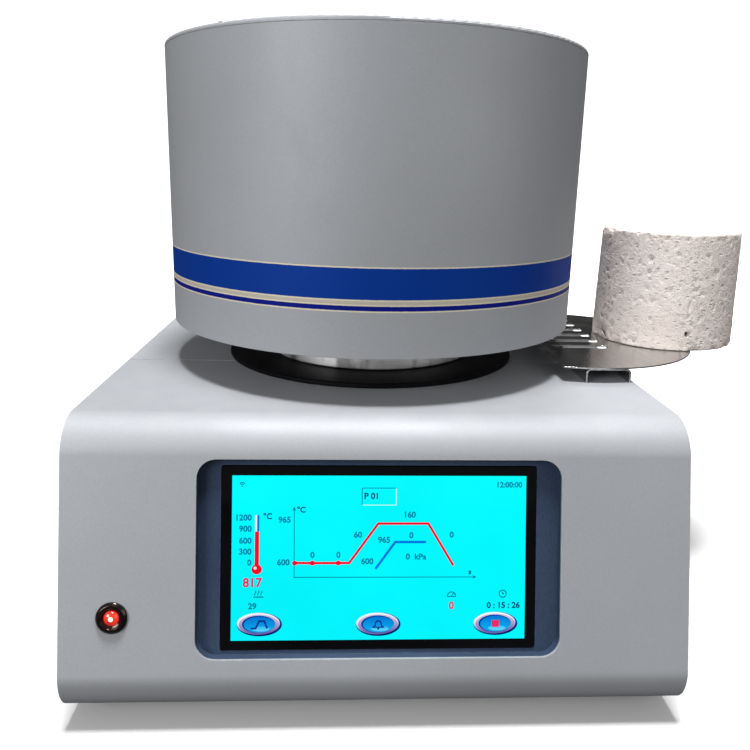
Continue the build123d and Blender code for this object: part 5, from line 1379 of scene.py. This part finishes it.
# ---------------------------------------------------------------- lift column
@dataclass
class LiftColumn:
    """Column cover and cap, guide rods, threaded lifting screw, carriage, bridge, deck and motor."""

    pitch: float = 2.0 * MM
    starts: int = 5
    thread_depth: float = 0.9 * MM
    screw_radius: float = 6.0 * MM
    rod_radius: float = 8.0 * MM
    rod_chamfer: float = 1.0 * MM
    plain_low: float = 14.0 * MM   # unthreaded length at the motor's end
    plain_high: float = 6.0 * MM
    runout: float = 1.5 * MM
    end_gap: float = 0.3 * MM
    tip_chamfer: float = 1.3 * MM

    def build(self) -> None:
        """Make the column's pieces."""
        Maker.recut_all(("column_cover", Shop.paint, "silver_paint", 0.4),
                        ("column_cap", Shop.plastic, "black_plastic", 0.3))
        self.lifting_screw()
        self.rods()
        Maker.recut_all(("column_bridge carriage_block", Shop.aluminium, "aluminium", 0.4),
                        ("linear_bearings", Shop.ground, "hard_steel", 0.3),
                        ("lead_nut", Shop.bronze, "bronze", 0.3),
                        ("deck_plate deck_posts", Shop.zinc, "zinc_steel", 0.3),
                        ("lift_arm", Shop.zinc, "zinc_steel", 0.6),
                        ("lift_motor", Shop.motor, "motor", 0.5))

    def lifting_screw(self) -> None:
        """A multi-start thread.

        The reach at angle t and height z is the outer radius less a rounded groove whose depth is
        depth * (0.5 - 0.5 cos(2 pi (z / pitch - starts t / 2 pi)))^0.6; both ends are plain and the
        top one is chamfered.
        """
        low, middle, high = spot("lead_screw")
        steps, rows = 40, int((high[2] - low[2]) / (self.pitch / 6))
        t = 2 * math.pi * np.arange(steps) / steps
        z = np.linspace(low[2] + self.end_gap, high[2] - self.end_gap, rows)
        phase = z[:, None] / self.pitch - self.starts * t[None, :] / (2 * math.pi)
        groove = (0.5 - 0.5 * np.cos(2 * math.pi * phase)) ** 0.6
        threaded = np.minimum(z - low[2] - self.plain_low, high[2] - self.plain_high - z)
        share = np.clip(threaded / self.runout, 0, 1)[:, None]
        reach = self.screw_radius - self.thread_depth * groove * share
        reach -= np.clip(z[:, None] - high[2] + self.tip_chamfer, 0, self.tip_chamfer - self.end_gap)
        points = np.stack((middle[0] + reach * np.cos(t), middle[1] + reach * np.sin(t),
                           np.broadcast_to(z[:, None], reach.shape)), axis=-1).reshape(-1, 3)
        faces = grid_faces(rows, steps, False, True).tolist()
        points = np.concatenate((points, [(*middle[:2], low[2]), (*middle[:2], high[2])]))
        count, last = len(points), (rows - 1) * steps
        faces += [(count - 2, (i + 1) % steps, i) for i in range(steps)]
        faces += [(count - 1, last + i, last + (i + 1) % steps) for i in range(steps)]
        Maker.piece("lead_screw_thread", Mesh(points, faces), Shop.ground, "lift_screw", "hard_steel",
                    ("lead_screw",), sharp=50.0)

    def rods(self) -> None:
        """Two ground rods with chamfered tops."""
        low, middle, high = spot("guide_rods")
        r = self.rod_radius
        c = self.rod_chamfer
        sharp = [(0, low[2]), (r, low[2]), (r, high[2] - c), (r - c, high[2]), (0, high[2])]
        profile = filleted(sharp, [0, 0.3 * MM, 0.3 * MM, 0.3 * MM, 0], 4)
        places = [(low[0] + r, middle[1]), (high[0] - r, middle[1])]
        Maker.piece("guide_rods_ground", Mesh.joined([lathe(profile, p, 64) for p in places]), Shop.ground,
                    "base", "hard_steel", ("guide_rods",))


# ---------------------------------------------------------------- head
@dataclass
class Head:
    """The striped round casing with its lid, floor plate, steel ring and the firing chamber inside."""

    sheet: float = 1.5 * MM
    window_half: float = 31.0 * MM
    window_low: float = 6.9 * MM
    window_high: float = 18.9 * MM
    folds: int = 144
    wide_band: Tuple[float, float] = (32.4 * MM, 49.1 * MM)
    thin_band: Tuple[float, float] = (26.4 * MM, 29.0 * MM)
    band_edge: float = 0.75 * MM
    edge_bevel: float = 0.45 * MM
    ring_bore: float = 62.0 * MM
    flange_step: float = 12.75 * MM
    relief_low: float = 7.5 * MM   # the skirt's groove, from the ring's foot
    relief_high: float = 9.7 * MM
    relief_depth: float = 0.5 * MM
    tube_wall: float = 5.0 * MM

    def build(self) -> None:
        """Make the head's pieces."""
        self.casing()
        Maker.recut_all(("head_lid", Shop.paint, "silver_paint", 0.3),
                        ("head_floor", Shop.aluminium, "aluminium", 0.4),
                        ("head_posts", Shop.screw, "screws", 0.3),
                        ("head_screws", Shop.screw, "screws", 0.15))
        self.ring()
        self.chamber()

    def paint(self) -> BandedPaint:
        """The casing's paint with its wide and thin stripes and their pale edges."""
        low = spot("head_casing")[0][2]
        cream, wide, thin = (0.7, 0.64, 0.5), (0.0, 0.035, 0.27), (0.0, 0.006, 0.2)
        edge = self.band_edge
        gap = Band(low + self.thin_band[1], low + self.wide_band[0], (0.5, 0.46, 0.38))
        bands = [gap]
        for (start, end), colour in ((self.wide_band, wide), (self.thin_band, thin)):
            bands.append(Band(low + start - edge, low + end + edge, cream))
            bands.append(Band(low + start, low + end, colour))
        return BandedPaint("silver_paint_head", SILVER_GREY, SILVER_SHADE, metallic=0.2, roughness=0.58,
                           gloss_spread=0.06, grain_size=0.0011, grain_tone=0.05, grain_depth=0.00002,
                           wear=0.5, wear_colour=(0.66, 0.66, 0.66), dust=0.15, smudge=0.05,
                           specular=0.12, bands=tuple(bands))

    def casing(self) -> None:
        """A flat blank with the arm's window, rolled into a cylinder.

        A blank point (s, z) goes to (r cos(s / r), r sin(s / r), z); the blank's two ends meet at the
        rear, where each carries half of the window.
        """
        low, middle, high = spot("head_casing")
        r = (high[0] - low[0]) / 2
        start, total = math.pi / 2 * r, 2 * math.pi * r
        bite = math.asin(self.window_half / r) * r
        z0, z1 = low[2] + self.window_low, low[2] + self.window_high
        end = start + total
        edge = np.array([(start, low[2]), (end, low[2]), (end, z0), (end - bite, z0), (end - bite, z1),
                         (end, z1), (end, high[2]), (start, high[2]), (start, z1), (start + bite, z1),
                         (start + bite, z0), (start, z0)])
        lines = start + total * np.arange(1, self.folds) / self.folds
        folds = [(s, low[2], s, high[2]) for s in lines]

        def metal(at: np.ndarray) -> np.ndarray:
            """True outside the window."""
            away = np.minimum(at[:, 0] - start, end - at[:, 0])
            return (away > bite) | (at[:, 1] < z0) | (at[:, 1] > z1)

        flat, triangles = cut_blank([edge], folds, metal)
        turn = flat[:, 0] / r
        points = np.column_stack((middle[0] + r * np.cos(turn), middle[1] + r * np.sin(turn), flat[:, 1]))
        mesh = Mesh(points, faced_out(points, triangles, middle).tolist())
        Maker.piece("head_casing_shell", mesh, self.paint(), "head", "silver_paint", ("head_casing",),
                    self.edge_bevel, self.sheet)

    def ring(self) -> None:
        """The turned steel ring: a stepped skirt with a relief groove, chamfers and a bolt flange."""
        low, _, high = spot("chamber_ring")
        flange = (high[0] - low[0]) / 2
        floor_top = spot("head_floor")[2][2]
        skirt, bore, d = flange - self.flange_step, self.ring_bore, self.relief_depth
        groove_low, groove_high = low[2] + self.relief_low, low[2] + self.relief_high
        sharp = [(bore, low[2]), (skirt, low[2]), (skirt, groove_low), (skirt - d, groove_low + d),
                 (skirt - d, groove_high - d), (skirt, groove_high), (skirt, floor_top), (flange, floor_top),
                 (flange, high[2]), (bore, high[2])]
        radii = [mm * MM for mm in (0.5, 1.0, 0.2, 0.2, 0.2, 0.2, 0, 0.4, 0.5, 0.4)]
        profile = filleted(sharp, radii, 5)
        Maker.piece("chamber_ring_turned", lathe(profile, AXIS, 192), Shop.steel, "head", "stainless",
                    ("chamber_ring",))

    def chamber(self) -> None:
        """The can, insulation, quartz tube, heater, sensor and vacuum elbow."""
        Maker.recut_all(("chamber_can can_lid", Shop.zinc, "zinc_steel", 0.3),
                        ("insulation_collar insulation_ring insulation_top", Shop.fibre, "fibre", 0.6))
        low, _, high = spot("heating_muffle")
        r = (high[0] - low[0]) / 2
        bore = r - self.tube_wall
        sharp = [(bore, low[2]), (r, low[2]), (r, high[2]), (bore, high[2])]
        profile = filleted(sharp, [1.2 * MM] * 4, 5)
        Maker.piece("quartz_tube", lathe(profile, AXIS, 128), Shop.quartz, "head", "quartz",
                    ("heating_muffle",))
        Maker.recut_all(("heating_coil", Shop.wire, "heater_wire", 0.0),
                        ("thermocouple heater_terminals", Shop.wire, "heater_wire", 0.2),
                        ("vacuum_elbow", Shop.bronze, "bronze", 0.2))


# ---------------------------------------------------------------- tray and pedestal
@dataclass
class CoolingTray:
    """The polished tray on its folded bracket."""

    def build(self) -> None:
        """Make the tray and the bracket."""
        Maker.recut_all(("cooling_tray", Shop.tray, "polished_stainless", 0.18),
                        ("tray_bracket", Shop.bracket, "stainless", 0.18))


@dataclass
class Pedestal:
    """The loose cast block: tapered, pitted, with chipped edges and a probe hole."""

    steps: int = 420
    rows: int = 170
    taper: float = 1.7 * MM
    foot_radius: float = 1.2 * MM
    edge_radius: float = 2.0 * MM
    roughness: float = 0.5 * MM
    hole_depth: float = 0.9 * MM
    chip_depth: float = 2.4 * MM
    chip_fade: float = 3.2 * MM    # how far from a rim the chips reach
    sole_inset: float = 2.0 * MM
    bore_turn: float = -93.0
    bore_height: float = 12.0 * MM
    bore_radius: float = 1.6 * MM
    bore_depth: float = 9.0 * MM
    corner_turn: float = -172.0    # where a corner is broken off, in degrees
    corner_depth: float = 4.5 * MM
    corner_reach: float = 8.0 * MM

    def build(self) -> None:
        """Turn the block and roughen it.

        Along the profile the wall runs straight between rounded rims. Each point is pushed inwards by
        three sizes of lattice noise, and near the two rims by chips where a coarser noise is high.
        """
        low, middle, high = spot("firing_pedestal")
        r_low = (high[0] - low[0]) / 2
        sharp = [(0, low[2]), (r_low, low[2]), (r_low - self.taper, high[2]), (0, high[2])]
        corners = filleted(sharp, [0, self.foot_radius, self.edge_radius, 0], 6)
        lengths = run_lengths(corners)
        s = np.unique(np.concatenate((np.linspace(0.0, lengths[-1], self.rows), lengths)))
        profile = np.column_stack([np.interp(s, lengths, corners[:, k]) for k in (0, 1)])
        mesh = lathe(profile, middle, self.steps, closed=False)
        points = self._worn(mesh.points, middle, r_low, (high[2] - low[2]) / 2)
        turn = math.radians(self.bore_turn)
        axis = np.array([math.cos(turn), math.sin(turn), 0.0])
        mouth = np.array([middle[0], middle[1], low[2] + self.bore_height])
        # the block's finish paints shade inside the probe hole
        finish = replace(Shop.refractory, name="cast_block", bore_through=(tuple(mouth), tuple(axis)))
        Maker.piece("firing_block", Mesh(self._probe(points, axis, mouth), mesh.faces), finish, "pedestal",
                    "refractory", ("firing_pedestal",), sharp=60.0)

    def _worn(self, points: np.ndarray, middle: np.ndarray, radius: float, half: float) -> np.ndarray:
        """Push the points inwards: grain and holes everywhere, chips at the rims, one broken corner.

        The rims' chips fade as exp(-(distance / fade)^2); points on the flat ends move up or down
        instead, and the sole that the block stands on stays flat.

        Args:
            points: the turned block's points.
            middle: the block's middle.
            radius: its reach at the foot.
            half: half its height.
        Returns:
            The moved points.
        """
        inner = points - middle
        reach, height = np.hypot(inner[:, 0], inner[:, 1]), inner[:, 2]
        fine = 0.5 * ripple(points, 6 * MM, 3) + 0.3 * ripple(points, 2.2 * MM, 5)
        fine += 0.35 * ripple(points, 1.1 * MM, 8)
        holes = np.clip(ripple(points, 2.6 * MM, 11) - 0.45, 0, 1) * 2.2
        push = self.roughness * (0.5 + 0.5 * np.clip(fine, -1, 1)) + self.hole_depth * holes
        rim = np.exp(-((half - np.abs(height)) / self.chip_fade) ** 2) * (reach > radius * 0.93)
        chips = np.clip(ripple(points, 9 * MM, 21) - 0.15, 0, 1)
        chips += np.clip(ripple(points, 4 * MM, 23) - 0.3, 0, 1)
        push += self.chip_depth * rim * chips
        turn = np.degrees(np.arctan2(inner[:, 1], inner[:, 0]))
        aside = np.radians((turn - self.corner_turn + 180) % 360 - 180) * radius
        above = (height + half) * 0.8
        lost = np.clip(1.25 - np.hypot(aside, above) / self.corner_reach + 0.3 * fine, 0, 1)
        push += self.corner_depth * lost * (reach > radius * 0.9)
        push[(height < -half + 0.05 * MM) & (reach < radius - self.sole_inset)] = 0.0
        inward = np.column_stack((-inner[:, :2], np.zeros(len(reach)))) / np.maximum(reach, 1e-9)[:, None]
        inward *= np.clip((reach - 0.2 * radius) / (0.8 * radius), 0, 1)[:, None]
        down = np.array([0.0, 0.0, -1.0]) * np.sign(height)[:, None]
        way = np.where((np.abs(height) > half - 0.3 * MM)[:, None], down, inward)
        return points + way * push[:, None]

    def _probe(self, points: np.ndarray, axis: np.ndarray, mouth: np.ndarray) -> np.ndarray:
        """Sink the probe hole: points near its mouth move inwards along its axis."""
        away = points - mouth
        along = away @ axis
        off = np.linalg.norm(away - along[:, None] * axis, axis=1)
        sink = self.bore_depth * np.clip((self.bore_radius - off) / (0.5 * MM), 0, 1) * (along > 30 * MM)
        return points - sink[:, None] * axis


# ---------------------------------------------------------------- rear fittings and inside
@dataclass
class Services:
    """Fan, mains inlet, pump outlet, switch, vacuum port and the electrical pieces inside."""

    def build(self) -> None:
        """Make the rear fittings and the pieces in the base."""
        Maker.recut_all(
            ("fan_frame fan_rotor power_inlet pump_outlet switch_body switch_rocker", Shop.plastic,
             "black_plastic", 0.25),
            ("vacuum_port vacuum_valve", Shop.bronze, "bronze", 0.3),
            ("transformer", Shop.motor, "motor", 0.6),
            ("heater_relay", Shop.aluminium, "aluminium", 0.3))


# ---------------------------------------------------------------- studio
@dataclass(frozen=True)
class Light:
    """One soft rectangular light: where it hangs, what it looks at, its two sides and its watts."""

    name: str
    place: Tuple[float, float, float]
    aim: Tuple[float, float, float]
    size: Tuple[float, float]
    power: float

    def build(self) -> None:
        """Hang the light."""
        data = bpy.data.lights.new(self.name, "AREA")
        data.shape, data.energy = "RECTANGLE", self.power
        data.size, data.size_y = self.size
        made = bpy.data.objects.new(self.name, data)
        made.location = self.place
        toward = Vector(self.aim) - Vector(self.place)
        made.rotation_euler = toward.to_track_quat("-Z", "Y").to_euler()
        bpy.context.scene.collection.objects.link(made)


LIGHTS = (
    Light("key", (-1.1, -1.15, 0.62), (0.0, 0.0, 0.2), (0.6, 0.6), 11.5),
    Light("top", (-0.05, -0.38, 3.0), (-0.05, -0.02, 0.15), (0.6, 0.6), 120.0),
    Light("low_window", (-0.62, -1.0, 0.3), (0.0, 0.0, 0.18), (0.14, 0.3), 0.6),
    Light("back", (0.5, 1.3, 2.1), (0.0, 0.1, 0.15), (0.6, 0.6), 16.0),
    Light("fill", (1.1, -1.1, 0.6), (0.1, 0.0, 0.15), (0.8, 0.8), 3.4),
)


@dataclass
class Studio:
    """Pale floor, soft lights and the camera."""

    camera_reach: Tuple[float, float, float] = (-0.02168, -0.50678, 0.28836)
    yaw: float = 2.786
    pitch: float = 12.858
    roll: float = -1.301
    lens: float = 34.363
    shift_up: float = -0.0568
    sensor: float = 36.0
    ambient: float = 0.28
    floor_reach: float = 6.0
    floor_flat: float = 3.0  # where the floor starts to curve up
    floor_bend: float = 1.5

    def build(self) -> None:
        """Make the floor, the lights and the camera."""
        self.floor()
        self.camera()
        self.sky()
        for light in LIGHTS:
            light.build()

    def floor(self) -> None:
        """A level floor that curves up into a backdrop far behind.

        Height is 0 until the bend, then radius * (1 - cos t), then straight up.
        """
        reach, start, bend, rows = self.floor_reach, self.floor_flat, self.floor_bend, 20
        x = np.linspace(-reach, reach, 25)
        t = np.linspace(0.0, math.pi / 2, 13)[1:]
        y = np.concatenate((np.linspace(-reach, start, rows), start + bend * np.sin(t), [start + bend]))
        z = np.concatenate((np.zeros(rows), bend * (1 - np.cos(t)), [reach]))
        points = np.stack((np.repeat(x, len(y)), np.tile(y, len(x)), np.tile(z, len(x))), axis=-1)
        data = bpy.data.meshes.new("floor")
        data.from_pydata(points.tolist(), [], grid_faces(len(x), len(y), False, False)[:, ::-1].tolist())
        data.polygons.foreach_set("use_smooth", np.ones(len(data.polygons), bool))
        made = bpy.data.objects.new("floor", data)
        bpy.context.scene.collection.objects.link(made)
        data.materials.append(Shop.floor.material())

    def camera(self) -> None:
        """The camera, placed from the head's axis and turned by yaw, pitch and roll."""
        yaw, pitch, roll = (math.radians(a) for a in (self.yaw, self.pitch, self.roll))
        ahead = Vector((math.sin(yaw) * math.cos(pitch), math.cos(yaw) * math.cos(pitch), -math.sin(pitch)))
        right = Vector((math.cos(yaw), -math.sin(yaw), 0.0))
        down = ahead.cross(right)
        side = math.cos(roll) * right + math.sin(roll) * down
        under = -math.sin(roll) * right + math.cos(roll) * down
        turned = Matrix((side, -under, -ahead)).transposed().to_4x4()
        data = bpy.data.cameras.new("camera")
        data.lens, data.sensor_width, data.shift_y = self.lens, self.sensor, self.shift_up
        data.clip_start, data.clip_end = 0.01, 30.0
        made = bpy.data.objects.new("camera", data)
        place = Vector((AXIS[0], AXIS[1], 0.0)) + Vector(self.camera_reach)
        made.matrix_world = Matrix.Translation(place) @ turned
        bpy.context.scene.collection.objects.link(made)
        bpy.context.scene.camera = made

    def sky(self) -> None:
        """Even surroundings, white to the camera and dimmer to the object, shown in true colours."""
        world = bpy.data.worlds.new("studio")
        world.use_nodes = True
        back = world.node_tree.nodes["Background"]
        back.inputs[0].default_value = (1.0, 1.0, 1.0, 1.0)
        sheet = NodeSheet(world.node_tree)
        seen = sheet.node("ShaderNodeLightPath").outputs["Is Camera Ray"]
        sheet.feed(back.inputs[1], sheet.span(seen, 0.0, 1.0, self.ambient, 1.0))
        bpy.context.scene.world = world
        bpy.context.scene.view_settings.view_transform = "Standard"


def main() -> None:
    """Build the studio, then each sub-assembly in order."""
    for part in (Studio(), Casing(), Display(), Lamp(), Hearth(), LiftColumn(), Head(), CoolingTray(),
                 Pedestal(), Services()):
        log.info("building %s", type(part).__name__)
        part.build()
    bpy.context.view_layer.update()


if __name__ == "__main__":
    main()
